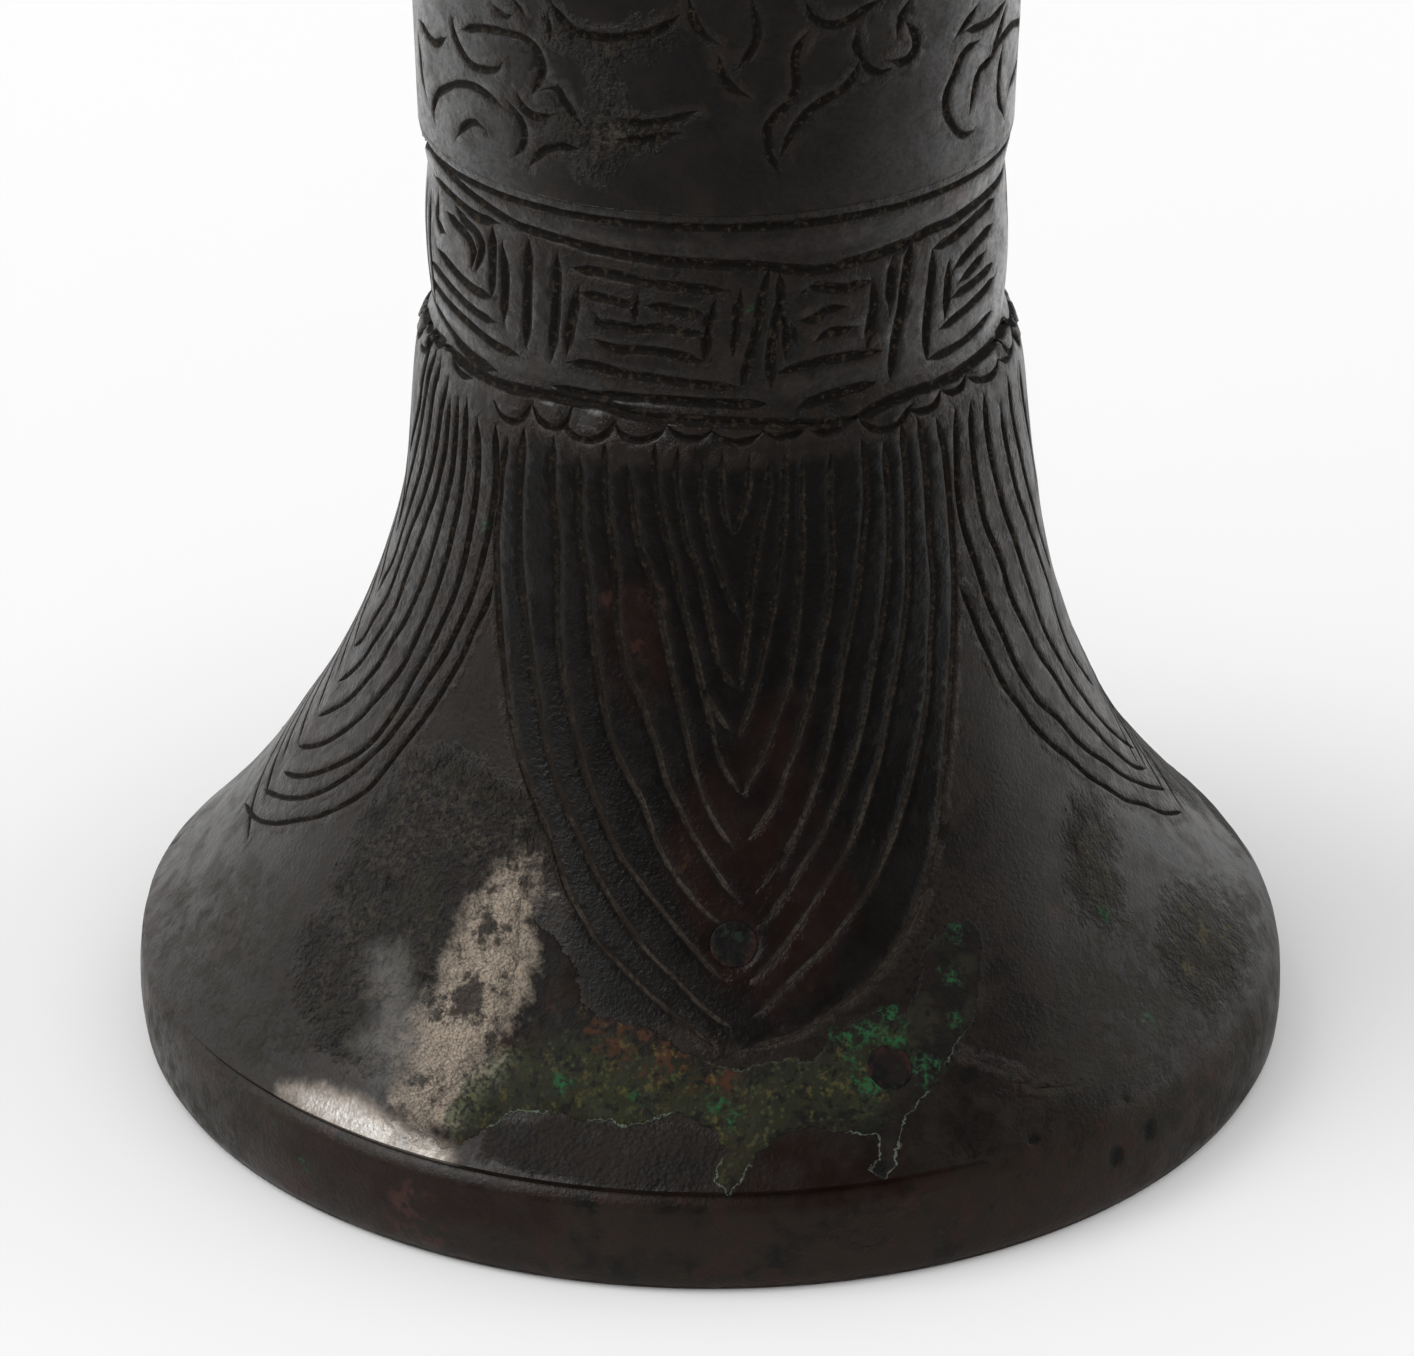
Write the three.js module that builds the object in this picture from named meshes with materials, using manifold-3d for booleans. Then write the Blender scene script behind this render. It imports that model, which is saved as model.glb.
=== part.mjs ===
// A bronze gu vase: a spreading foot, a drum-shaped knop and a trumpet neck, cast one by one.
// The knop is a tube. A spigot on the foot and one on the neck lap inside its two ends and are
// soldered there, and a flat disc on the foot's spigot closes the vessel. Leaves and a band of
// key fret are cut into the foot.
// Millimetres, +Z up, the origin on the axis at the level that the foot stands on.

import * as THREE from 'three';
import { mergeVertices } from 'three/addons/utils/BufferGeometryUtils.js';
import Module from 'manifold-3d';

const wasm = await Module();
wasm.setup();

// Fits
const clearance = 0.3;
const solderThickness = 0.6;
const solderEndGap = 0.5;

// Knop, and the lap joints inside its ends
const knopBoreRadius = 17.3;
const knopWall = 3.0;
const knopSwell = 0.35;
const knopHeight = 44.6;
const lapLength = 5.8;
const spigotWall = 2.7;

// Collars, the narrow bands of key fret that the foot and the neck turn towards the knop
const collarSetback = 0.7;
const collarSwell = 0.3;
const collarWall = 3.0;
const collarHeight = 13.3;
const collarTurnInHeight = 3.6;
const collarShoulderHeight = 3.0;
const ledgeWidth = 0.8;
const ledgeHeight = 1.9;

// Foot
const footHeight = 68.2;
const footRimRadius = 41.0;
const footRimBulge = 0.3;
const footRimHeight = 7.0;
const footRimWall = 3.4;
const footCreaseDepth = 0.6;
const footCreaseHeight = 0.5;
const footShoulderSetback = 1.8;
const footShoulderHeight = 2.0;
const footWall = 2.8;
const footLowerPull = 29.4;
const footLowerTurn = THREE.MathUtils.degToRad(45);
const footUpperPull = 4.0;
const footUpperTurn = THREE.MathUtils.degToRad(32);

// Neck and mouth
const neckHeight = 104.6;
const mouthRadius = 62.0;
const lipWidth = 2.8;
const lipHeight = 1.6;
const neckWall = 2.6;
const neckLowerPull = 50.0;
const neckLowerTurn = THREE.MathUtils.degToRad(2);
const neckUpperPull = 27.0;
const neckUpperTurn = THREE.MathUtils.degToRad(56);

// Floor of the vessel and the fillet of solder round it
const floorThickness = 2.0;
const floorFillet = 1.5;

// Plugs in the holes that the core pins left, each by its height on the casting and its bearing
// from +X, in degrees towards +Y. The front of the vase faces -Y.
const plugRadius = 1.6;
const leafPlugHeight = 20.3;
const tipPlugHeight = 12.8;
const rightPlugHeight = 25.0;
const backPlugHeight = 16.5;
const footPlugs = [
  { height: leafPlugHeight, bearing: -86.4 },
  { height: tipPlugHeight, bearing: -70.1 },
  { height: rightPlugHeight, bearing: 35.0 },
  { height: backPlugHeight, bearing: 158.0 },
];
const neckPlugHeight = 55.0;
const neckPlugBearings = [-38.0, 82.0, 202.0];

// Lines cut into the foot's outside with a pointed chisel. The chisel stands so far off the
// surface that it breaks through all along a line, where the surface rounds between two points.
const grooveHalfWidth = 0.45;
const grooveDepth = 0.35;
const grooveStandOff = 0.7;
const grooveEndShare = 0.3;
const chiselEdges = 3;

// Leaves that hang from the foot's ledge, point down. A leaf is a nest of pointed lines: the
// height of each tip above the shoulder, and how many degrees each half spreads to its side.
// The bow is low where a half bulges and near 1 where it runs straight to the tip.
const leafMiddles = [-173.4, -86.5, 0.5, 93.5];
const leafTopGap = 1.6;
const outerTipHeight = 4.7;
const middleTipHeight = 10.4;
const innerTipHeight = 19.2;
const leafLines = [
  { tip: outerTipHeight, left: 46.0, leftBow: 0.70, right: 40.0, rightBow: 0.50 },
  { tip: middleTipHeight, left: 30.0, leftBow: 0.80, right: 28.0, rightBow: 0.55 },
  { tip: innerTipHeight, left: 15.0, leftBow: 0.90, right: 17.0, rightBow: 0.80 },
];

// The fret on the collar: panels of nested strokes below a ring, and scallops under the ledge
const fretPanels = [[-168.0, -133.0], [-122.0, -83.0], [-79.0, -52.0], [-46.0, -18.0]];
const fretTopGap = 3.2;
const fretTopMargin = 1.0;
const fretBottomMargin = 1.6;
const fretStrokes = [
  [[0.00, 0.05], [0.00, 1.00]],
  [[0.08, 0.95], [0.88, 0.90]],
  [[1.03, 1.00], [0.92, 0.00]],
  [[0.04, 0.05], [0.92, 0.00]],
  [[0.13, 0.75], [0.80, 0.70]],
  [[0.20, 0.50], [0.78, 0.50]],
];
const scallopCount = 32;
const scallopDrop = 1.6;
const scallopWidthShare = 0.9;

// Fineness of the faceted surfaces
const roundSteps = 48;
const leafStep = 7.0;
const leafStepCrowding = 1.5;
const strokeStep = 5.0;
const scallopSteps = 3;
const plugSteps = 16;
const footFlareSteps = 10;
const footInsideStride = 2;
const neckFlareSteps = 16;
const swellSteps = 4;

// Sizes that follow from the ones above
const solderRadius = knopBoreRadius - clearance;
const spigotRadius = solderRadius - solderThickness - clearance;
const spigotBoreRadius = spigotRadius - spigotWall;
const knopEndRadius = knopBoreRadius + knopWall;
const collarRadius = knopEndRadius - collarSetback;
const collarBoreRadius = collarRadius - collarWall;
const knopBottom = footHeight + clearance;
const knopTop = knopBottom + knopHeight;
const neckBottom = knopTop + clearance;
const mouthHeight = neckBottom + neckHeight;
const footSpigotTop = knopBottom + lapLength;
const neckSpigotBottom = knopTop - lapLength;
const floorBottom = footSpigotTop + clearance;
const floorTop = floorBottom + floorThickness;

// A slightly swelling line from one point to another, as a shallow arc without its first point
function swell(from, to, rise, steps) {
  const points = [];
  for (let step = 1; step <= steps; step += 1) {
    const share = step / steps;
    const point = from.clone().lerp(to, share);
    point.x += rise * Math.sin(Math.PI * share);
    points.push(point);
  }
  return points;
}

// A trumpet line between two points, each left at its own turn from the upright
function flare(start, startPull, startTurn, end, endPull, endTurn, steps) {
  const startHandle = new THREE.Vector2(Math.sin(startTurn), Math.cos(startTurn));
  const endHandle = new THREE.Vector2(-Math.sin(endTurn), -Math.cos(endTurn));
  startHandle.multiplyScalar(startPull).add(start);
  endHandle.multiplyScalar(endPull).add(end);
  return new THREE.CubicBezierCurve(start, startHandle, endHandle, end).getPoints(steps);
}

// The inside of a wall whose outside is a line of points that climbs
function insideOf(outside, wall) {
  return outside.map((point, index) => {
    const before = outside[Math.max(index - 1, 0)];
    const after = outside[Math.min(index + 1, outside.length - 1)];
    const along = after.clone().sub(before).normalize();
    return new THREE.Vector2(point.x - wall * along.y, point.y + wall * along.x);
  });
}

// The place and the outward direction of a casting's outside at a height
function surfaceAt(outside, height) {
  const next = Math.max(outside.findIndex((point) => point.y > height), 1);
  const below = outside[next - 1];
  const above = outside[next];
  const share = (height - below.y) / (above.y - below.y);
  const along = above.clone().sub(below).normalize();
  return {
    place: below.clone().lerp(above, share),
    outward: new THREE.Vector2(along.y, -along.x),
  };
}

// A solid from a geometry, and a geometry from a solid
function solidOf(geometry) {
  const bare = geometry.index ? geometry : mergeVertices(geometry);
  bare.deleteAttribute('normal');
  bare.deleteAttribute('uv');
  const welded = mergeVertices(bare, 1e-5);
  return new wasm.Manifold(new wasm.Mesh({
    numProp: 3,
    vertProperties: new Float32Array(welded.attributes.position.array),
    triVerts: new Uint32Array(welded.index.array),
  }));
}

function geometryOf(solid) {
  const mesh = solid.getMesh();
  const geometry = new THREE.BufferGeometry();
  geometry.setAttribute('position', new THREE.BufferAttribute(mesh.vertProperties, mesh.numProp));
  geometry.setIndex(new THREE.BufferAttribute(mesh.triVerts, 1));
  geometry.computeVertexNormals();
  return geometry;
}

// A ring-shaped solid turned about the axis from a section that closes on itself. The section
// runs up its outside and down its inside.
function turned(section) {
  const closed = [...section, section[0].clone()];
  return solidOf(new THREE.LatheGeometry(closed, roundSteps).rotateX(Math.PI / 2));
}

function point(radius, height) {
  return new THREE.Vector2(radius, height);
}

// The foot's outside: upright rim, crease, rounded shoulder, flare up to the ledge, collar
const footFlareStart = point(
  footRimRadius - footShoulderSetback,
  footRimHeight + footShoulderHeight,
);
const footFlareEnd = point(collarRadius + ledgeWidth, footHeight - collarHeight - ledgeHeight);
const footFlare = flare(
  footFlareStart, footLowerPull, -footLowerTurn,
  footFlareEnd, footUpperPull, -footUpperTurn,
  footFlareSteps,
);

const footCollarBottom = point(collarRadius, footHeight - collarHeight);
const fretTop = footHeight - fretTopGap;
const footCollar = [
  footCollarBottom,
  ...swell(
    footCollarBottom, point(collarRadius, fretTop - grooveHalfWidth), collarSwell, swellSteps,
  ),
  point(collarRadius - grooveDepth, fretTop),
  point(collarRadius, fretTop + grooveHalfWidth),
  point(knopEndRadius - clearance, footHeight),
];

function makeFoot() {
  const rimFoot = point(footRimRadius, 0);
  const rimTop = point(footRimRadius, footRimHeight - footCreaseHeight);
  const crease = point(footRimRadius - footCreaseDepth, footRimHeight);
  const shoulder = point(footRimRadius - footCreaseDepth / 2, footRimHeight + footCreaseHeight);
  const outside = [
    rimFoot,
    ...swell(rimFoot, rimTop, footRimBulge, swellSteps),
    crease,
    shoulder,
    ...footFlare,
    ...footCollar,
  ];
  const spigot = [
    point(spigotRadius, footHeight),
    point(spigotRadius, footSpigotTop),
    point(spigotBoreRadius, footSpigotTop),
    point(spigotBoreRadius, footHeight - collarShoulderHeight),
  ];
  const turnIn = point(collarBoreRadius, footHeight - collarShoulderHeight - collarTurnInHeight);
  const rimBore = footRimRadius - footRimWall;
  const inside = insideOf(footFlare, footWall)
    .filter((place, index) => index % footInsideStride === 0)
    .filter((place) => place.x > collarBoreRadius && place.x < rimBore && place.y < turnIn.y)
    .reverse();
  return turned([...outside, ...spigot, turnIn, ...inside, point(rimBore, footRimHeight),
    point(rimBore, 0)]);
}

// The knop: a tube whose outside swells a little between its ends
function makeKnop() {
  const bottom = point(knopEndRadius, knopBottom);
  const top = point(knopEndRadius, knopTop);
  return turned([
    bottom,
    ...swell(bottom, top, knopSwell, 2 * swellSteps),
    point(knopBoreRadius, knopTop),
    point(knopBoreRadius, knopBottom),
  ]);
}

// The neck: spigot, collar, ledge, and the trumpet that opens to the lip
const neckFlareStart = point(collarRadius + ledgeWidth, neckBottom + collarHeight + ledgeHeight);
const neckFlareEnd = point(mouthRadius, mouthHeight - lipHeight);
const neckFlare = flare(
  neckFlareStart, neckLowerPull, neckLowerTurn,
  neckFlareEnd, neckUpperPull, neckUpperTurn,
  neckFlareSteps,
);

function makeNeck() {
  const collarBottom = point(knopEndRadius - clearance, neckBottom);
  const collarNarrow = point(collarRadius, neckBottom + collarShoulderHeight);
  const collarTop = point(collarRadius, neckBottom + collarHeight);
  const spigot = [
    point(spigotBoreRadius, neckSpigotBottom),
    point(spigotRadius, neckSpigotBottom),
    point(spigotRadius, neckBottom),
  ];
  const outside = [
    collarBottom,
    collarNarrow,
    ...swell(collarNarrow, collarTop, collarSwell, swellSteps),
    ...neckFlare,
    point(mouthRadius, mouthHeight),
  ];
  const turnIn = point(collarBoreRadius, neckBottom + collarShoulderHeight + collarTurnInHeight);
  const lipInside = point(mouthRadius - lipWidth, mouthHeight);
  const inside = insideOf(neckFlare, neckWall)
    .filter((place) => place.x > collarBoreRadius && place.y > turnIn.y)
    .filter((place) => place.x < lipInside.x && place.y < mouthHeight - lipHeight)
    .reverse();
  return turned([...spigot, ...outside, lipInside, ...inside, turnIn,
    point(spigotBoreRadius, neckBottom + collarShoulderHeight)]);
}

// The disc that closes the vessel, resting on the foot's spigot inside the knop
function makeVesselFloor() {
  const disc = new THREE.CylinderGeometry(solderRadius, solderRadius, floorThickness, roundSteps);
  disc.rotateX(Math.PI / 2).translate(0, 0, floorBottom + floorThickness / 2);
  return solidOf(disc);
}

// The fillet of solder in the corner between the disc and the knop
function makeFloorSolder() {
  const bottom = floorTop + clearance;
  return turned([
    point(solderRadius, bottom),
    point(solderRadius, bottom + floorFillet),
    point(solderRadius - floorFillet, bottom),
  ]);
}

// The sleeve of solder in a lap joint, between a spigot and the knop's bore
function makeLapSolder(bottom, top) {
  return turned([
    point(solderRadius, bottom + solderEndGap),
    point(solderRadius, top - solderEndGap),
    point(solderRadius - solderThickness, top - solderEndGap),
    point(solderRadius - solderThickness, bottom + solderEndGap),
  ]);
}

// A round bar through a casting's wall, square to its outside
function barThrough(outside, height, bearing, radius, wall) {
  const { place, outward } = surfaceAt(outside, height);
  const bar = new THREE.CylinderGeometry(radius, radius, 3 * wall, plugSteps);
  bar.rotateZ(-Math.PI / 2);
  bar.rotateY(-Math.atan2(outward.y, outward.x));
  bar.translate(place.x - outward.x * wall / 2, 0, place.y - outward.y * wall / 2);
  bar.rotateZ(THREE.MathUtils.degToRad(bearing));
  return solidOf(bar);
}

// A casting with a hole for each plug, and the plugs, whose ends are flush with its two faces
function plugged(casting, outside, wall, plugs) {
  const fitted = plugs.map(({ height, bearing }) => (
    casting.intersect(barThrough(outside, height, bearing, plugRadius, wall))
  ));
  const drilled = plugs.reduce((body, { height, bearing }) => (
    body.subtract(barThrough(outside, height, bearing, plugRadius + clearance, wall))
  ), casting);
  return { drilled, fitted };
}

// The direction of a place on a casting's outside from its axis, and the place in space. The
// outside is flat between the lathe's steps, so a place between two of them lies a little inside.
function onOutside(outside, { bearing, height }) {
  const { place, outward } = surfaceAt(outside, height);
  const facet = 2 * Math.PI / roundSteps;
  const angle = THREE.MathUtils.degToRad(bearing);
  const fromFacetMiddle = THREE.MathUtils.euclideanModulo(angle, facet) - facet / 2;
  const radius = place.x * Math.cos(facet / 2) / Math.cos(fromFacetMiddle);
  return {
    place: new THREE.Vector3(radius * Math.cos(angle), radius * Math.sin(angle), place.y),
    outward: new THREE.Vector3(outward.x * Math.cos(angle), outward.x * Math.sin(angle), outward.y),
  };
}

// What a pointed chisel takes out along a line on a casting's outside: a bar with three edges,
// one of them below the surface. It rises towards the surface at its ends.
function chiselled(outside, line) {
  const spots = line.map((spot) => onOutside(outside, spot));
  const count = spots.length;
  const corners = spots.flatMap(({ place, outward }, index) => {
    const before = spots[Math.max(index - 1, 0)].place;
    const after = spots[Math.min(index + 1, count - 1)].place;
    const side = outward.clone().cross(after.clone().sub(before)).normalize();
    const share = index === 0 || index === count - 1 ? grooveEndShare : 1;
    const spread = grooveHalfWidth * (share + grooveStandOff / grooveDepth);
    const top = place.clone().addScaledVector(outward, grooveStandOff);
    return [
      top.clone().addScaledVector(side, spread),
      top.clone().addScaledVector(side, -spread),
      place.clone().addScaledVector(outward, -share * grooveDepth),
    ];
  });
  const last = chiselEdges * (count - 1);
  const faces = [2, 1, 0, last, last + 1, last + 2];
  for (let near = 0; near < last; near += chiselEdges) {
    const far = near + chiselEdges;
    for (let edge = 0; edge < chiselEdges; edge += 1) {
      const next = (edge + 1) % chiselEdges;
      faces.push(near + edge, near + next, far + next);
      faces.push(near + edge, far + next, far + edge);
    }
  }
  const bar = new THREE.BufferGeometry().setFromPoints(corners);
  bar.setIndex(faces);
  return solidOf(bar);
}

// A straight stroke between two places, with a point at every few millimetres
function stroke(outside, from, to) {
  const ends = [from, to].map((spot) => onOutside(outside, spot).place);
  const steps = Math.max(2, Math.round(ends[0].distanceTo(ends[1]) / strokeStep));
  return Array.from({ length: steps + 1 }, (_, step) => ({
    bearing: THREE.MathUtils.lerp(from.bearing, to.bearing, step / steps),
    height: THREE.MathUtils.lerp(from.height, to.height, step / steps),
  }));
}

// One half of a leaf's line, from its tip up to its foot below the ledge
function leafHalf(middle, tipHeight, topHeight, spread, bow) {
  const steps = Math.max(2, Math.round((topHeight - tipHeight) / leafStep));
  return Array.from({ length: steps + 1 }, (_, step) => {
    const climbed = (step / steps) ** leafStepCrowding;
    return {
      bearing: middle + spread * Math.sin(Math.PI / 2 * climbed ** bow),
      height: tipHeight + (topHeight - tipHeight) * climbed,
    };
  });
}

function leavesOf(flareLine) {
  const topHeight = footFlareEnd.y - leafTopGap;
  return leafMiddles.flatMap((middle) => leafLines.flatMap((line) => {
    const tipHeight = footFlareStart.y + line.tip;
    return [
      chiselled(flareLine, leafHalf(middle, tipHeight, topHeight, -line.left, line.leftBow)),
      chiselled(flareLine, leafHalf(middle, tipHeight, topHeight, line.right, line.rightBow)),
    ];
  }));
}

// The strokes of the collar's panels on its two faces
function fretOf(collarLine) {
  const low = footCollarBottom.y + fretBottomMargin;
  const high = fretTop - fretTopMargin;
  const cuts = [];
  for (const turn of [0, 180]) {
    for (const [left, right] of fretPanels) {
      const spotAt = ([across, up]) => ({
        bearing: turn + THREE.MathUtils.lerp(left, right, across),
        height: THREE.MathUtils.lerp(low, high, up),
      });
      for (const [from, to] of fretStrokes) {
        cuts.push(chiselled(collarLine, stroke(collarLine, spotAt(from), spotAt(to))));
      }
    }
  }
  return cuts;
}

// The scallops that hang from the ledge under the collar
function scallopsOf(ledgeLine) {
  const topHeight = footCollarBottom.y - ledgeHeight / 2;
  const pitch = 360 / scallopCount;
  return Array.from({ length: scallopCount }, (_, index) => {
    const arc = Array.from({ length: scallopSteps + 1 }, (_unused, step) => {
      const swing = Math.PI * step / scallopSteps;
      return {
        bearing: pitch * (index - scallopWidthShare / 2 * Math.cos(swing)),
        height: topHeight - scallopDrop * Math.sin(swing),
      };
    });
    return chiselled(ledgeLine, arc);
  });
}

const darkBronze = { color: 0x2b2620, roughness: 0.42, metalness: 0.9 };
const plugBronze = { color: 0x4a3428, roughness: 0.5, metalness: 0.85 };
const oldSolder = { color: 0x6b6a66, roughness: 0.6, metalness: 0.7 };

const vase = new THREE.Group();

function addPiece(name, solid, finish) {
  const piece = new THREE.Mesh(geometryOf(solid), new THREE.MeshStandardMaterial(finish));
  piece.name = name;
  vase.add(piece);
}

const foot = plugged(makeFoot(), footFlare, footWall, footPlugs);
const neckPlugs = neckPlugBearings.map((bearing) => (
  { height: neckBottom + neckPlugHeight, bearing }
));
const neck = plugged(makeNeck(), neckFlare, neckWall, neckPlugs);

const footCuts = [
  ...leavesOf(footFlare),
  ...fretOf(footCollar),
  ...scallopsOf([...footFlare, footCollarBottom]),
];
const engravedFoot = footCuts.reduce((body, cut) => body.subtract(cut), foot.drilled);

addPiece('foot', engravedFoot, darkBronze);
addPiece('knop', makeKnop(), darkBronze);
addPiece('neck', neck.drilled, darkBronze);
addPiece('vessel_floor', makeVesselFloor(), darkBronze);
addPiece('floor_solder', makeFloorSolder(), oldSolder);
addPiece('foot_joint_solder', makeLapSolder(knopBottom, footSpigotTop), oldSolder);
addPiece('neck_joint_solder', makeLapSolder(neckSpigotBottom, knopTop), oldSolder);
foot.fitted.forEach((plug, index) => addPiece(`foot_pin_plug_${index + 1}`, plug, plugBronze));
neck.fitted.forEach((plug, index) => addPiece(`neck_pin_plug_${index + 1}`, plug, plugBronze));

export default vase;
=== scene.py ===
# %% [markdown]
# This lesson dresses a cast bronze beaker vase: a bell-shaped foot, a
# straight knop and a trumpet neck, three castings soldered one on the next.
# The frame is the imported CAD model. It gives every size, and the pieces made
# here stand where its nodes are.

# %% Load the frame and keep its box
import math
import bpy
import numpy as np
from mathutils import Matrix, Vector, kdtree, noise
from mathutils.geometry import delaunay_2d_cdt


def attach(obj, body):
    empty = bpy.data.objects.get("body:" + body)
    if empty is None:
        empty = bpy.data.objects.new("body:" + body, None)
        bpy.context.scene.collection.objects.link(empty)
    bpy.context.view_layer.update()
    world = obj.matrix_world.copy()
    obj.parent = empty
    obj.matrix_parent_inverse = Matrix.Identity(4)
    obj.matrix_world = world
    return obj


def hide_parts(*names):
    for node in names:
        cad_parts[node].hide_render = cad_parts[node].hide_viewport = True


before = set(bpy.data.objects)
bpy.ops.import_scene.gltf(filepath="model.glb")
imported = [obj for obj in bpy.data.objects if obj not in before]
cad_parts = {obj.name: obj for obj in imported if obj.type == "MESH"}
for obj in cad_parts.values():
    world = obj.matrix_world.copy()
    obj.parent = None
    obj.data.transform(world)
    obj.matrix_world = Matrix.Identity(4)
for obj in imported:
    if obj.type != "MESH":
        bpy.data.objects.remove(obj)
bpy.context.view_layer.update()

# %% [markdown]
# Lengths are written in millimetres, as a founder's drawing has them, and
# become metres only when a mesh is written. Each casting is a body of
# revolution, so its outer line is a list of radius and height, and a point on
# it is named by its bearing round the axis and its height.

# %% Lines that the outlines are drawn with
MILLIMETRE = 0.001
LINE_STEPS = 24
CURVE_STEPS = 90
TINY = 1e-6
NO_LENGTH = 1e-12


def swelling_line(start, end, swell, steps=LINE_STEPS):
    """A straight line that swells a little in its middle."""
    share = np.linspace(0.0, 1.0, steps)[:, None]
    line = np.array(start) + (np.array(end) - np.array(start)) * share
    line[:, 0] += swell * np.sin(np.pi * share[:, 0])
    return line


def drawn_curve(start, first_handle, second_handle, end):
    """A cubic curve between two ends with two handles."""
    t = np.linspace(0.0, 1.0, CURVE_STEPS)[:, None]
    near = (1 - t) ** 3 * np.array(start) + 3 * t * (1 - t) ** 2 * np.array(first_handle)
    far = 3 * t**2 * (1 - t) * np.array(second_handle) + t**3 * np.array(end)
    return near + far


NORMAL_REACH = 0.35


class Outline:
    """The outer line of a casting, from its bottom to its top."""

    def __init__(self, *parts):
        line = np.vstack(parts)
        keep = np.append(True, np.diff(line[:, 1]) > TINY)
        line = line[keep]
        self.radius, self.height = line[:, 0], line[:, 1]
        mid_radius = (self.radius[1:] + self.radius[:-1]) / 2
        self.step = np.hypot(np.diff(self.radius), np.diff(self.height))
        self.climb = np.append(0.0, np.cumsum(self.step / mid_radius))

    def radius_at(self, height):
        return np.interp(height, self.height, self.radius)

    def climb_at(self, height):
        return np.interp(height, self.height, self.climb)

    def height_at(self, climb):
        return np.interp(climb, self.climb, self.height)

    def normal_at(self, height):
        """Outward and upward parts of the direction square to the line."""
        low = np.clip(height - NORMAL_REACH, self.height[0], self.height[-1])
        high = np.clip(height + NORMAL_REACH, self.height[0], self.height[-1])
        rise = high - low
        out = self.radius_at(high) - self.radius_at(low)
        length = np.hypot(rise, out)
        return rise / length, -out / length


# %% The three outer lines, as the CAD part has them, with the seams drawn close
FOOT_RIM_RADIUS, RIM_TOP = 41.0, 6.5
CREASE_RADIUS, CREASE_HEIGHT = 40.4, 7.0
STEP_RADIUS, STEP_HEIGHT = 40.7, 7.5
FLARE_RADIUS, FLARE_BOTTOM = 39.2, 9.0
LEDGE_RADIUS, LEDGE_HEIGHT = 20.4, 53.0
COLLAR_RADIUS, COLLAR_LOW, COLLAR_HIGH = 19.6, 54.9, 65.2
JOINT_RADIUS, FOOT_TOP, KNOP_BOTTOM = 20.2, 68.48, 68.5
KNOP_RADIUS, KNOP_TOP, KNOP_STEPS = 20.3, 113.1, 60
NECK_JOINT_RADIUS, NECK_BOTTOM = 20.0, 113.4
NECK_COLLAR_LOW, NECK_COLLAR_HIGH, NECK_LEDGE = 116.4, 126.7, 128.6
MOUTH_RADIUS, LIP_BOTTOM, MOUTH_HEIGHT = 62.0, 216.4, 218.0
BAND_SWELL, KNOP_SWELL = 0.3, 0.35

flare = drawn_curve(
    (FLARE_RADIUS, FLARE_BOTTOM), (18.41, 29.79), (22.52, 49.61), (LEDGE_RADIUS, LEDGE_HEIGHT))
trumpet = drawn_curve(
    (LEDGE_RADIUS, NECK_LEDGE), (22.14, 178.57), (39.62, 201.30), (MOUTH_RADIUS, LIP_BOTTOM))
foot_outline = Outline(
    swelling_line((FOOT_RIM_RADIUS, 0.0), (FOOT_RIM_RADIUS, RIM_TOP), BAND_SWELL),
    [(CREASE_RADIUS, CREASE_HEIGHT), (STEP_RADIUS, STEP_HEIGHT)],
    flare,
    swelling_line((COLLAR_RADIUS, COLLAR_LOW), (COLLAR_RADIUS, COLLAR_HIGH), BAND_SWELL),
    [(JOINT_RADIUS, FOOT_TOP)],
)
knop_outline = Outline(
    swelling_line((JOINT_RADIUS, KNOP_BOTTOM), (KNOP_RADIUS, KNOP_TOP), KNOP_SWELL, KNOP_STEPS),
)
neck_outline = Outline(
    [(NECK_JOINT_RADIUS, NECK_BOTTOM)],
    swelling_line((COLLAR_RADIUS, NECK_COLLAR_LOW), (COLLAR_RADIUS, NECK_COLLAR_HIGH), BAND_SWELL),
    trumpet,
    [(MOUTH_RADIUS, MOUTH_HEIGHT)],
)
whole_height = np.concatenate([o.height for o in (foot_outline, knop_outline, neck_outline)])
whole_radius = np.concatenate([o.radius for o in (foot_outline, knop_outline, neck_outline)])
print("foot climb", round(foot_outline.climb[-1], 3), "neck climb", round(neck_outline.climb[-1], 3))

# %% [markdown]
# Old castings are never quite true. The photographed foot and knop lean a
# little to one side as they rise, so every piece is shifted sideways by a few
# tenths of a millimetre, by its height, and the mouth stays where the CAD
# has it.

# %% The lean of the vase
LEAN_HEIGHTS = [0.0, 20.5, 41.0, 61.5, 82.0, 125.0, MOUTH_HEIGHT]
LEAN_SHIFTS = [0.336, -0.108, 1.000, 0.635, 0.598, 0.2, 0.0]


def lean_at(height):
    """How far the axis has moved sideways at a height."""
    return np.interp(height, LEAN_HEIGHTS, LEAN_SHIFTS)


# %% [markdown]
# The camera stands in front of the vase and looks down at it. It is placed
# first, because the engraved lines were traced on the photograph: each traced
# point is sent from the camera through the picture until it meets the
# casting, and comes back as a bearing and a height.

# %% The camera
PICTURE_WIDTH = 1414
PICTURE_HEIGHT = 1356
FOCAL_PIXELS = 5783.46
CAMERA_BACK = 369.0
CAMERA_UP = 206.03
CAMERA_DIP = 0.455186
SENSOR_WIDTH = 36.0
NEAREST_SEEN = 10.0 * MILLIMETRE

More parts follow.
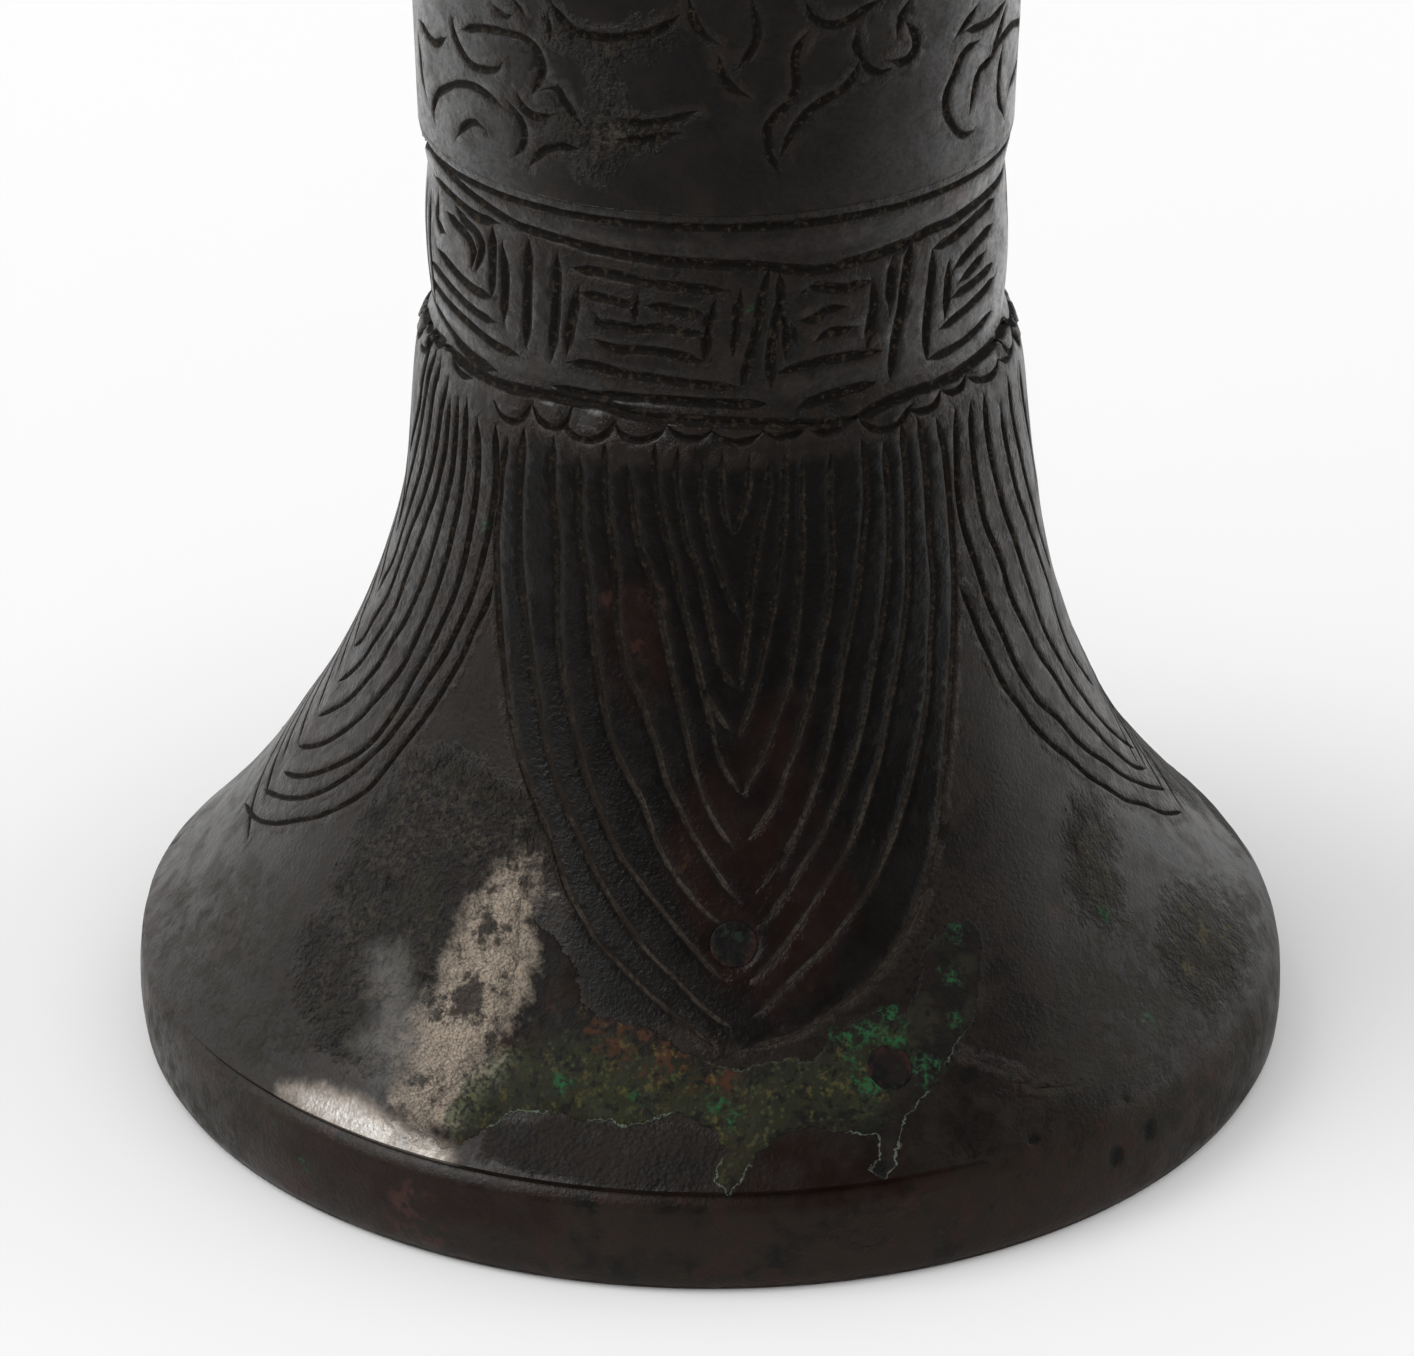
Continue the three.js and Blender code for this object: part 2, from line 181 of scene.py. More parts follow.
camera_data = bpy.data.cameras.new("photo_camera")
camera_data.sensor_width = SENSOR_WIDTH
camera_data.lens = FOCAL_PIXELS / PICTURE_WIDTH * SENSOR_WIDTH
camera_data.clip_start = NEAREST_SEEN
camera = bpy.data.objects.new("photo_camera", camera_data)
bpy.context.scene.collection.objects.link(camera)
camera.location = (0.0, -CAMERA_BACK * MILLIMETRE, CAMERA_UP * MILLIMETRE)
camera.rotation_euler = (math.pi / 2 - CAMERA_DIP, 0.0, 0.0)
bpy.context.scene.camera = camera
print("lens", round(camera_data.lens, 1), "mm")


# %% From a point of the picture to a point of the vase
RAY_STEPS = 900
RAY_NEAR = 0.8
RAY_FAR = 1.25
FAR_OFF = 9.0
LEAST_DROP = 1e-9


def from_picture(points):
    """Bearing (radians) and height (mm) of traced picture points."""
    points = np.asarray(points, float)
    across = (points[:, 0] - PICTURE_WIDTH / 2) / FOCAL_PIXELS
    up = -(points[:, 1] - PICTURE_HEIGHT / 2) / FOCAL_PIXELS
    cosine, sine = math.cos(CAMERA_DIP), math.sin(CAMERA_DIP)
    ray = np.stack([across, cosine + up * sine, -sine + up * cosine], 1)
    ray /= np.linalg.norm(ray, axis=1)[:, None]
    eye = np.array([0.0, -CAMERA_BACK, CAMERA_UP])
    reach = np.linspace(CAMERA_BACK * RAY_NEAR, CAMERA_BACK * RAY_FAR, RAY_STEPS)
    place = eye + ray[:, None, :] * reach[None, :, None]
    x = place[..., 0] - lean_at(place[..., 2])
    gap = np.hypot(x, place[..., 1]) - np.interp(place[..., 2], whole_height, whole_radius)
    gap[place[..., 2] < 0.0] = FAR_OFF
    inside = gap <= 0.0
    first = np.where(inside.any(1), inside.argmax(1), gap.argmin(1))
    rows = np.arange(len(points))
    before = np.maximum(first - 1, 0)
    drop = gap[rows, before] - gap[rows, first]
    share = np.where(inside.any(1), gap[rows, before] / np.maximum(drop, LEAST_DROP), 1.0)
    hit = place[rows, before] + (place[rows, first] - place[rows, before]) * share[:, None]
    bearing = np.arctan2(hit[:, 1], hit[:, 0] - lean_at(hit[:, 2]))
    return np.stack([bearing, hit[:, 2]], 1)


print("a plug at", from_picture([(735, 945)]), "and the rim's top at", from_picture([(700, 1192)]))

# %% [markdown]
# The leaf in front is cut in nested lines that meet in points below. Its left
# and right lines were traced separately. The leaves at the sides show one
# half each.

# %% Traced lines of the front leaf, left half
FRONT_LEAF_LEFT = [
    [(508, 440), (502, 470), (500, 500), (497, 540), (498, 580), (500, 620), (503, 660), (508, 700),
     (512, 720), (517, 745), (524, 770), (533, 795), (543, 820), (553, 845), (570, 895), (585, 920),
     (600, 945), (620, 965), (640, 985), (660, 1003), (690, 1026), (713, 1046)],
    [(524, 430), (522, 460), (520, 500), (520, 540), (522, 580), (525, 610), (529, 640), (534, 675),
     (543, 725), (548, 750), (556, 780), (566, 805), (588, 855), (600, 880), (615, 905), (632, 930),
     (650, 955), (672, 975), (695, 1000), (715, 1017), (734, 1029)],
    [(554, 440), (553, 490), (556, 520), (558, 560), (558, 600), (559, 640), (562, 670), (568, 700),
     (574, 725), (580, 750), (587, 778), (600, 810), (610, 835), (622, 858), (640, 882), (660, 908),
     (678, 930), (695, 950), (712, 970), (727, 983)],
    [(580, 460), (580, 500), (581, 540), (586, 570), (592, 630), (596, 660), (603, 700), (608, 725),
     (616, 750), (628, 775), (642, 800), (652, 830), (663, 855), (675, 875), (690, 895), (705, 912),
     (722, 925), (745, 942)],
    [(605, 445), (606, 480), (607, 510), (612, 540), (615, 570), (617, 625), (621, 645), (627, 675),
     (641, 700), (649, 725), (658, 750), (666, 780), (678, 805), (690, 830), (702, 850), (715, 870),
     (738, 902)],
    [(628, 470), (631, 490), (635, 520), (640, 550), (648, 570), (655, 595), (661, 620), (672, 670),
     (683, 720), (690, 750), (697, 780), (706, 805), (720, 830), (736, 850)],
    [(655, 445), (656, 480), (660, 510), (666, 535), (673, 560), (682, 605), (693, 645), (703, 690),
     (715, 740), (722, 765), (732, 782), (741, 795)],
    [(678, 450), (678, 490), (682, 515), (688, 545), (697, 565), (703, 590), (713, 640), (720, 670)],
    [(703, 465), (702, 490), (706, 525), (713, 555), (722, 580), (732, 605), (738, 620)],
    [(722, 455), (722, 490), (725, 515), (731, 535)],
    [(705, 690), (715, 710), (725, 725), (732, 733)],
    [(720, 665), (728, 680), (737, 690)],
]

# %% Traced lines of the front leaf, right half
FRONT_LEAF_RIGHT = [
    [(937, 420), (944, 445), (948, 480), (951, 520), (953, 560), (954, 600), (953, 640), (951, 680),
     (948, 730), (943, 780), (938, 830), (931, 865), (920, 900), (905, 932), (888, 960), (866, 983),
     (840, 1004), (808, 1026), (775, 1040), (745, 1048)],
    [(918, 420), (924, 450), (927, 490), (929, 530), (933, 600), (931, 640), (929, 690), (922, 735),
     (912, 778), (900, 820), (887, 855), (872, 885), (858, 905), (843, 925), (826, 947), (802, 968),
     (778, 992), (755, 1014)],
    [(901, 425), (905, 450), (907, 480), (908, 520), (907, 600), (903, 635), (897, 670), (890, 705),
     (883, 745), (872, 785), (860, 822), (845, 855), (828, 880), (812, 905), (795, 930), (778, 953),
     (750, 980)],
    [(884, 445), (887, 470), (889, 500), (889, 560), (886, 595), (880, 635), (873, 670), (866, 710),
     (858, 745), (846, 780), (834, 808), (820, 838), (804, 862), (788, 888), (772, 912), (758, 925)],
    [(862, 440), (866, 470), (867, 500), (864, 530), (857, 595), (850, 630), (842, 672), (835, 715),
     (826, 755), (814, 792), (800, 825), (785, 852), (770, 875), (757, 890)],
    [(831, 455), (831, 500), (833, 570), (830, 605), (822, 640), (815, 675), (808, 705), (799, 740),
     (788, 768), (778, 795), (764, 820), (748, 838)],
    [(803, 460), (802, 500), (803, 540), (799, 605), (796, 640), (790, 680), (777, 717), (765, 750),
     (753, 775), (742, 793)],
    [(785, 455), (785, 500), (783, 540), (779, 575), (773, 610), (766, 645), (752, 700), (745, 720),
     (738, 735)],
    [(769, 462), (768, 500), (762, 525), (757, 550), (750, 605), (744, 660), (740, 685)],
    [(749, 458), (748, 490), (743, 512), (737, 532)],
]

# %% Traced lines of the leaves at the two sides
LEFT_LEAF = [
    [(432, 329), (429, 340), (425, 360), (421, 381), (419, 398), (415, 419), (411, 439), (409, 452)],
    [(435, 350), (432, 360), (427, 378), (421, 413), (416, 442), (412, 462), (407, 482), (403, 499),
     (395, 530)],
    [(439, 360), (437, 371), (433, 386), (430, 406), (427, 427), (424, 442), (421, 461), (414, 486),
     (409, 502), (399, 535), (394, 552), (389, 565), (382, 578), (377, 590)],
    [(447, 378), (445, 386), (441, 403), (436, 436), (433, 452), (430, 466), (420, 499), (410, 525),
     (405, 540), (396, 568), (384, 599), (373, 618), (362, 638), (353, 646)],
    [(449, 400), (447, 416), (443, 452), (439, 469), (433, 494), (424, 520), (414, 549), (403, 578),
     (393, 607), (384, 624), (373, 641), (362, 659), (350, 672), (338, 681)],
    [(457, 400), (454, 439), (450, 472), (444, 499), (437, 525), (430, 550), (422, 577), (413, 597),
     (402, 622), (390, 641), (379, 662), (367, 678), (354, 693), (339, 705), (317, 716)],
    [(466, 403), (464, 442), (461, 477), (457, 505), (450, 535), (443, 563), (432, 595), (422, 620),
     (411, 645), (402, 664), (388, 684), (373, 701), (358, 718), (342, 731), (327, 741), (312, 746),
     (297, 746)],
    [(476, 420), (477, 461), (474, 499), (468, 534), (462, 563), (448, 605), (438, 626), (425, 653),
     (411, 678), (398, 703), (386, 722), (373, 739), (358, 752), (342, 762), (327, 769), (295, 776),
     (283, 772)],
    [(494, 426), (495, 479), (493, 499), (487, 535), (479, 567), (472, 590), (463, 613), (452, 636),
     (440, 659), (425, 682), (411, 705), (396, 726), (383, 743), (369, 756), (354, 770), (339, 781),
     (320, 791), (304, 797), (287, 798), (263, 790)],
    [(491, 588), (484, 607), (472, 630), (459, 659), (446, 682), (432, 705), (417, 726), (402, 745),
     (386, 766), (369, 787), (354, 798), (335, 808), (316, 816), (297, 820), (277, 823), (262, 822),
     (243, 803)],
]
LEFT_LEAF_TRACE_SHIFT = 1.5
RIGHT_LEAF = [
    [(960, 587), (967, 601), (978, 630), (990, 657), (1002, 682), (1019, 705), (1036, 728), (1054, 746),
     (1072, 760), (1088, 775), (1108, 788), (1127, 800), (1145, 804), (1163, 812), (1181, 812)],
    [(956, 410), (957, 440), (959, 496), (963, 523), (970, 547), (979, 573), (987, 600), (1001, 632),
     (1013, 660), (1026, 682), (1038, 700), (1060, 720), (1072, 735), (1088, 750), (1106, 762),
     (1122, 774), (1147, 785), (1165, 789)],
    [(971, 403), (972, 428), (975, 464), (979, 492), (984, 517), (1001, 563), (1012, 600), (1026, 628),
     (1040, 655), (1054, 675), (1077, 710), (1092, 726), (1106, 742), (1120, 755), (1133, 765),
     (1146, 768)],
    [(984, 395), (987, 424), (992, 458), (999, 488), (1005, 511), (1023, 567), (1034, 601), (1047, 634),
     (1061, 660), (1076, 685), (1090, 705), (1104, 723), (1119, 737), (1134, 748)],
    [(1001, 409), (1005, 436), (1011, 466), (1019, 498), (1029, 527), (1039, 555), (1050, 587),
     (1061, 626), (1072, 653), (1083, 671), (1092, 685)],
    [(1008, 379), (1013, 418), (1019, 448), (1027, 484), (1035, 513), (1043, 541), (1051, 567)],
    [(1019, 369), (1022, 393), (1026, 420), (1031, 448), (1037, 482)],
]

# %% [markdown]
# The collar above the leaves carries a key fret of square spirals, and below
# it hangs a row of small scallops. The knop carries loose cloud scrolls.

# %% Traced lines of the fret
FRET = [
    [(436, 177), (450, 193), (464, 206), (477, 216), (500, 224)], [(439, 195), (438, 222), (446, 234)],
    [(447, 212), (458, 226), (468, 237), (474, 250), (472, 266)],
    [(456, 206), (466, 222), (477, 233), (483, 246), (481, 256), (476, 270)],
    [(438, 249), (449, 264), (458, 275), (473, 289), (493, 298)],
    [(431, 262), (439, 273), (450, 287), (468, 306), (483, 317), (496, 323)],
    [(431, 277), (439, 292), (452, 308), (468, 323), (485, 338), (500, 348), (519, 356)],
    [(430, 290), (439, 312), (452, 333), (464, 348), (477, 361), (496, 371)],
    [(493, 226), (493, 262), (492, 298)], [(502, 245), (505, 275), (504, 321)],
    [(529, 241), (527, 321), (526, 346)], [(557, 256), (556, 302), (552, 357)],
    [(578, 290), (571, 323), (567, 352)],
    [(571, 268), (611, 275), (659, 285), (726, 291)],
    [(578, 293), (600, 298), (619, 303), (638, 306)], [(638, 294), (636, 308), (636, 323)],
    [(645, 306), (665, 308), (688, 313), (709, 314)], [(709, 314), (704, 322), (710, 333)],
    [(716, 300), (711, 313), (707, 340), (705, 363)],
    [(596, 315), (597, 323), (611, 325), (640, 329), (669, 329), (688, 333), (707, 333)],
    [(596, 340), (607, 346), (659, 352), (678, 356), (705, 362)],
    [(567, 363), (588, 365), (630, 375), (659, 379), (688, 384), (738, 388)],
    [(554, 387), (582, 394), (621, 397), (659, 400), (688, 402), (766, 404)],
    [(741, 291), (738, 309), (733, 355)],
    [(769, 271), (765, 285), (757, 330), (749, 360), (741, 387)],
    [(780, 273), (781, 299), (775, 326), (771, 354), (771, 389)],
    [(782, 307), (787, 336), (785, 358)], [(791, 322), (797, 344)],
    [(802, 293), (806, 290), (843, 289), (872, 281)],
    [(873, 279), (874, 303), (871, 324), (867, 348)],
    [(802, 321), (814, 320), (826, 311), (845, 307)],
    [(818, 340), (826, 334), (843, 331), (853, 327)],
    [(779, 373), (792, 369), (822, 362), (853, 356), (879, 351)],
    [(796, 409), (814, 401), (832, 395), (853, 389), (875, 383)],
    [(894, 256), (891, 283), (890, 313)], [(912, 242), (906, 273), (902, 305), (896, 334), (890, 379)],
    [(933, 250), (932, 277), (928, 305), (926, 334), (927, 360)],
    [(933, 250), (951, 240), (971, 222), (994, 199)], [(928, 360), (951, 350), (973, 334), (991, 311)],
    [(949, 262), (947, 293), (945, 317)], [(939, 330), (951, 322), (975, 301), (994, 277)],
    [(951, 299), (971, 285), (993, 263)], [(953, 271), (971, 250), (985, 234), (993, 224)],
    [(959, 283), (973, 268), (985, 252)],
]
FRET_TOP_LINE = [
    (428, 146), (440, 163), (460, 184), (480, 201), (500, 215), (520, 227), (560, 240), (600, 251),
    (640, 258), (680, 263), (754, 266), (814, 271), (833, 268), (853, 262), (884, 252), (914, 240),
    (930, 230), (951, 222), (971, 207), (990, 191), (1002, 173)]
FRET_BOTTOM_LINE = [
    (425, 299), (445, 344), (470, 368), (497, 383), (560, 397), (604, 405), (630, 413), (659, 418),
    (720, 422), (780, 424), (840, 423), (863, 415), (884, 403), (908, 393), (934, 385), (955, 375),
    (975, 360), (992, 344), (1004, 320)]
SCALLOPS = [
    [(433, 328), (435, 339), (440, 346), (446, 344)], [(450, 352), (455, 366), (464, 376), (473, 379)],
    [(494, 401), (499, 413), (507, 420), (518, 421), (526, 415), (531, 405)],
    [(533, 406), (539, 419), (550, 427), (561, 427), (569, 419), (574, 407)],
    [(563, 414), (567, 429), (577, 438), (591, 441), (603, 437), (611, 429), (615, 421)],
    [(616, 425), (622, 435), (636, 441), (650, 439), (661, 433), (667, 426)],
    [(668, 426), (676, 434), (690, 439), (704, 437), (712, 431)],
    [(714, 432), (722, 440), (738, 443), (752, 440), (762, 433)],
    [(764, 431), (774, 437), (790, 436), (802, 431), (809, 426)],
    [(810, 430), (822, 434), (836, 430), (848, 424), (856, 415)],
    [(858, 418), (868, 427), (884, 430), (897, 425), (905, 415), (911, 404)],
    [(907, 408), (918, 412), (930, 409), (938, 400), (941, 390)],
    [(941, 389), (949, 393), (958, 390), (964, 383), (966, 374)],
    [(965, 375), (975, 380), (988, 378), (996, 369), (998, 359)],
    [(999, 360), (1007, 360), (1011, 350), (1012, 338)]]

# %% The groove beside the joint of foot and knop, traced edges of flaked patina, and scratches
JOINT_LINE = [
    (426, 110), (439, 125), (453, 144), (468, 156), (489, 170), (510, 182), (531, 191), (552, 198),
    (573, 204), (594, 210), (615, 216), (636, 221), (657, 225), (688, 227), (720, 227), (747, 224),
    (789, 219), (831, 212), (873, 201), (915, 191), (946, 174), (978, 150), (999, 129), (1014, 112)]
FLAKE_EDGES = [
    [(480, 790), (500, 803), (525, 800)], [(960, 1055), (980, 1060), (1000, 1068), (1020, 1076)],
    [(1020, 1076), (1027, 1085), (1050, 1088), (1080, 1085)], [(800, 1243), (822, 1236), (850, 1240)],
    [(850, 1240), (868, 1247), (884, 1240), (880, 1228)], [(880, 1215), (900, 1205)],
    [(1078, 806), (1082, 822), (1074, 840), (1081, 868)],
    [(395, 1113), (412, 1112), (415, 1122), (436, 1131)]]
SCRATCHES = [
    [(783, 854), (768, 870), (753, 888)], [(776, 872), (767, 890), (758, 910)],
    [(789, 883), (776, 901), (762, 920)], [(857, 847), (849, 876), (841, 906)],
    [(864, 852), (858, 880), (852, 906)], [(875, 843), (866, 870), (857, 899)],
    [(846, 826), (836, 850), (829, 872)], [(700, 720), (716, 735), (722, 752)]]

# %% Traced lines of the scrolls on the knop
KNOP_SCROLLS = [
    [(419, 20), (423, 28), (429, 38), (436, 44), (441, 41), (446, 37)],
    [(419, 39), (421, 57), (423, 78), (427, 96)], [(414, 50), (416, 83)],
    [(452, 20), (453, 32), (459, 47), (471, 65), (485, 70), (498, 69), (502, 63)],
    [(461, 30), (481, 28), (502, 32), (530, 42), (541, 59), (543, 69), (539, 82), (532, 94)],
    [(435, 118), (434, 108), (437, 96), (447, 88), (461, 84), (477, 88), (490, 98), (502, 108)],
    [(510, 104), (520, 120), (524, 131), (522, 147), (512, 157)],
    [(457, 137), (465, 126), (475, 122), (486, 131)], [(518, 96), (526, 112), (539, 118), (555, 114)],
    [(543, 90), (559, 90), (563, 100), (573, 114), (580, 124)],
    [(529, 166), (541, 153), (555, 147), (580, 150)], [(620, 120), (634, 123), (661, 123), (698, 112)],
    [(616, 141), (645, 139), (680, 134)],
    [(551, 2), (563, 20), (573, 30), (590, 36), (614, 38), (645, 34), (663, 28), (679, 16)],
    [(549, 18), (550, 39)], [(492, 5), (506, 17), (512, 15)], [(515, 1), (525, 16)],
    [(689, 1), (693, 18), (702, 34), (718, 44)], [(719, 58), (723, 77), (734, 90), (747, 96)],
    [(752, 1), (756, 20), (757, 38), (750, 54), (739, 68)],
    [(807, 34), (797, 50), (795, 68), (797, 86), (788, 104), (777, 115), (768, 127), (768, 143),
     (771, 156), (779, 172)],
    [(859, 63), (854, 77), (840, 91), (825, 100), (809, 111), (798, 124), (788, 140), (781, 155)],
    [(857, 29), (857, 47), (863, 61), (870, 70), (884, 72), (890, 69)],
    [(906, 22), (915, 34), (915, 50), (906, 61), (888, 61)],
    [(805, 1), (813, 16), (825, 25), (838, 25), (852, 18), (868, 7), (878, 1)],
    [(909, 1), (901, 16), (897, 34)], [(977, 6), (968, 21), (955, 38)],
    [(965, 31), (981, 27), (997, 16), (1006, 2)],
    [(979, 41), (963, 54), (954, 75), (946, 95), (946, 111), (952, 124), (965, 136), (975, 131)],
    [(1021, 21), (1009, 30), (998, 46), (991, 60), (979, 74), (975, 92), (971, 110)],
    [(1003, 48), (1000, 74), (1000, 96), (1004, 114)], [(1019, 55), (1009, 90)],
    [(1007, 7), (991, 60)],
]

# %% [markdown]
# A traced line has a point every millimetre or two. A smooth curve through
# those points, cut again into even steps, gives the path of the chasing tool.
# Bearing and climb are used for it, where climb is the distance up the
# casting divided by the radius: in that pair a small square on the paper is a
# small square on the metal.

# %% Smooth, even lines on a casting
LINE_SPACING = 0.55
FINE_STEPS = 12
SEAM_STEP = 74
ROUND_STEPS = 192
TURN = 2 * math.pi
SEAM_END = SEAM_STEP * TURN / ROUND_STEPS
SEAM_START = SEAM_END - TURN


def even_line(traced, outline, spacing=LINE_SPACING):
    """Evenly spaced (bearing, climb) points on a smooth curve through traced ones."""
    knots = np.stack([np.unwrap(traced[:, 0]), outline.climb_at(traced[:, 1])], 1)
    gaps = np.maximum(np.linalg.norm(np.diff(knots, axis=0), axis=1), TINY)
    chord = np.append(0.0, np.cumsum(gaps))
    slope = np.gradient(knots, chord, axis=0)
    fine = np.linspace(0.0, chord[-1], FINE_STEPS * len(knots))
    k = np.clip(np.searchsorted(chord, fine, side="right") - 1, 0, len(knots) - 2)
    gap = (chord[k + 1] - chord[k])[:, None]
    t = (fine - chord[k])[:, None] / gap
    line = (2 * t**3 - 3 * t**2 + 1) * knots[k] + (t**3 - 2 * t**2 + t) * gap * slope[k]
    line += (3 * t**2 - 2 * t**3) * knots[k + 1] + (t**3 - t**2) * gap * slope[k + 1]
    radius = outline.radius_at(outline.height_at(line[1:, 1]))
    run = np.append(0.0, np.cumsum(np.linalg.norm(np.diff(line, axis=0), axis=1) * radius))
    even = np.linspace(0.0, run[-1], max(3, round(run[-1] / spacing) + 1))
    return np.stack([np.interp(even, run, line[:, 0]), np.interp(even, run, line[:, 1])], 1)


def round_the_axis(bearing):
    """The same bearing between the seam's two sides."""
    return (bearing - SEAM_START) % TURN + SEAM_START


# %% [markdown]
# An engraving keeps all the lines of one casting: where they run, how wide
# and deep they are, and the guide lines beside them, along which the mesh is
# laid so that each groove has two clean sides and a clean bottom.

# %% The lines cut into one casting
GUIDE_SHARES = (-1.0, -0.5, 0.0, 0.5, 1.0)
END_TAPER = 1.3
POINTED_END = 0.25
CENTRE_STEPS = 4


class Engraving:
    """Every line of one casting, with its width and depth."""

    def __init__(self, outline):
        self.outline = outline
        self.guides, self.centres, self.widths, self.depths = [], [], [], []

    def radius(self, line):
        return self.outline.radius_at(self.outline.height_at(line[:, 1]))

    def place(self, line):
        """Points in space, in millimetres, of a (bearing, climb) line."""
        radius = self.radius(line)
        height = self.outline.height_at(line[:, 1])
        return np.stack([radius * np.cos(line[:, 0]), radius * np.sin(line[:, 0]), height], 1)

    def keep(self, line, side, width, depth, shares):
        """Add a line's guide lines, and its middle line with four points to each step."""
        radius = self.radius(line)
        for share in shares:
            self.guides.append(line + side * (share * width / radius)[:, None])
        fine = max(2, len(line) * CENTRE_STEPS)
        ends = np.linspace(0, len(line) - 1, fine)
        index = np.arange(len(line))
        dense = np.stack([np.interp(ends, index, line[:, 0]), np.interp(ends, index, line[:, 1])], 1)
        self.centres.append(self.place(dense))
        self.widths.append(np.interp(ends, index, width))
        self.depths.append(np.interp(ends, index, depth))

    def cut(self, traced, half_width, depth, spacing=LINE_SPACING, shares=GUIDE_SHARES, breadth=None):
        """One open line that thins out at its ends, and widens with height as breadth says."""
        line = even_line(np.asarray(traced, float), self.outline, spacing)
        along = np.gradient(line, axis=0)
        along /= np.linalg.norm(along, axis=1)[:, None]
        side = np.stack([-along[:, 1], along[:, 0]], 1)
        run = np.arange(len(line)) * spacing
        taper = np.clip(np.minimum(run, run[::-1]) / END_TAPER + POINTED_END, 0.0, 1.0)
        if breadth:
            taper = taper * breadth(self.outline.height_at(line[:, 1]))
        self.keep(line, side, half_width * taper, depth * taper, shares)

    def ring(self, heights, half_width, depth):
        """A line all the way round, given its height at every column."""
        bearing = np.linspace(SEAM_START, SEAM_END, ROUND_STEPS + 1)
        line = np.stack([bearing, self.outline.climb_at(heights(bearing))], 1)
        side = np.tile([0.0, 1.0], (len(line), 1))
        ones = np.ones(len(line))
        self.keep(line, side, half_width * ones, depth * ones, GUIDE_SHARES)

    def finish(self):
        """A search tree of every point of every line."""
        self.centre = np.vstack(self.centres)
        self.width, self.depth = np.concatenate(self.widths), np.concatenate(self.depths)
        self.tree = kdtree.KDTree(len(self.centre))
        for index, centre in enumerate(self.centre):
            self.tree.insert(centre, index)
        self.tree.balance()

    def nearest(self, places):
        """Distance to the nearest line, and which point of it, for many places."""
        found = [self.tree.find(p)[1:] for p in places]
        index = np.array([f[0] for f in found])
        return np.array([f[1] for f in found]), index


# %% Copies of a line on the far side, on a mirrored leaf, and on the neck
def turned(line, degrees):
    return np.stack([line[:, 0] + math.radians(degrees), line[:, 1]], 1)


def mirrored(line, bearing):
    """The other half of a leaf, about the leaf's own middle."""
    return np.stack([2 * bearing - line[:, 0], line[:, 1]], 1)


MIDDLE_HEIGHT = (KNOP_TOP + KNOP_BOTTOM) / 2


def upside_down(line):
    """The same line as far above the knop's middle as it was below."""
    return np.stack([line[:, 0], 2 * MIDDLE_HEIGHT - line[:, 1]], 1)


LEAF_TOP, LEAF_BOTTOM = 53.0, 14.0
NECK_LEAF_BOTTOM, NECK_LEAF_TOP = 128.8, 196.0


def onto_neck(line):
    """A line of the foot's leaf, stood up and drawn out on the neck."""
    share = (LEAF_TOP - line[:, 1]) / (LEAF_TOP - LEAF_BOTTOM)
    height = NECK_LEAF_BOTTOM + share * (NECK_LEAF_TOP - NECK_LEAF_BOTTOM)
    return np.stack([line[:, 0], height], 1)


# %% Cut the foot's leaves
LEAF_HALF_WIDTH = 0.30
LEAF_DEPTH = 0.27
HAIR_HALF_WIDTH = 0.13
HAIR_DEPTH = 0.05
HAIR_SHARES = (-1.0, 0.0, 1.0)
NARROW_AT_TIP = 0.80
BROAD_AT_TOP = 1.25


def leaf_breadth(height):
    """How broad a leaf's line is: narrow at the tip, broad below the ledge."""
    return np.interp(height, [LEAF_BOTTOM, LEAF_TOP], [NARROW_AT_TIP, BROAD_AT_TOP])


foot_engraving = Engraving(foot_outline)
front_leaf = [from_picture(line) for line in FRONT_LEAF_LEFT + FRONT_LEAF_RIGHT]
left_leaf = [from_picture(np.array(line) + (LEFT_LEAF_TRACE_SHIFT, 0)) for line in LEFT_LEAF]
right_leaf = [from_picture(line) for line in RIGHT_LEAF]
left_middle = np.mean([line[-1, 0] for line in left_leaf[3:]])
right_middle = np.mean([line[-1, 0] for line in right_leaf[:3]])
left_leaf += [mirrored(line, left_middle) for line in left_leaf]
right_leaf += [mirrored(line, right_middle) for line in right_leaf]
back_leaf = [turned(line, 180) for line in front_leaf]
for line in front_leaf + left_leaf + right_leaf + back_leaf:
    foot_engraving.cut(line, LEAF_HALF_WIDTH, LEAF_DEPTH, breadth=leaf_breadth)
for line in FLAKE_EDGES + SCRATCHES:
    foot_engraving.cut(from_picture(line), HAIR_HALF_WIDTH, HAIR_DEPTH, shares=HAIR_SHARES)
print("leaf middles", round(math.degrees(left_middle), 1), round(math.degrees(right_middle), 1))

# %% Cut the collar's fret, its border lines and the scallops
FRET_HALF_WIDTH = 0.46
FRET_DEPTH = 0.30
JOINT_HALF_WIDTH = 0.38
JOINT_DEPTH = 0.26
JOINT_GROOVE_TOP = 67.62
SCALLOP_HALF_WIDTH = 0.33
SCALLOP_DEPTH = 0.26
SCALLOP_STEPS = 7
SCALLOP_PITCH = 8.6
SCALLOP_DROP = 1.5
PLAIN_GAP_SCALLOPS = (-14.5, -5.9, 2.7, 11.3)
FAR_SIDE_DIVIDERS = (-4.0, 1.0, 9.0, 14.0, 176.0, 181.0, 188.0, 193.0)
DIVIDER_HEIGHTS = (56.2, 60.0, 64.0)

fret = [from_picture(line) for line in FRET]
fret += [turned(line, 180) for line in fret]
for bearing in FAR_SIDE_DIVIDERS:
    fret.append(np.array([(math.radians(bearing), height) for height in DIVIDER_HEIGHTS]))


def ring_heights(traced_line):
    """A ring that follows a traced line in front and its mirror image behind."""
    traced = from_picture(traced_line)
    both = np.vstack([traced, turned(traced[::-1], 180)])
    bearing = round_the_axis(both[:, 0])
    order = np.argsort(bearing)
    return lambda at: np.interp(round_the_axis(at), bearing[order], both[order, 1], period=TURN)


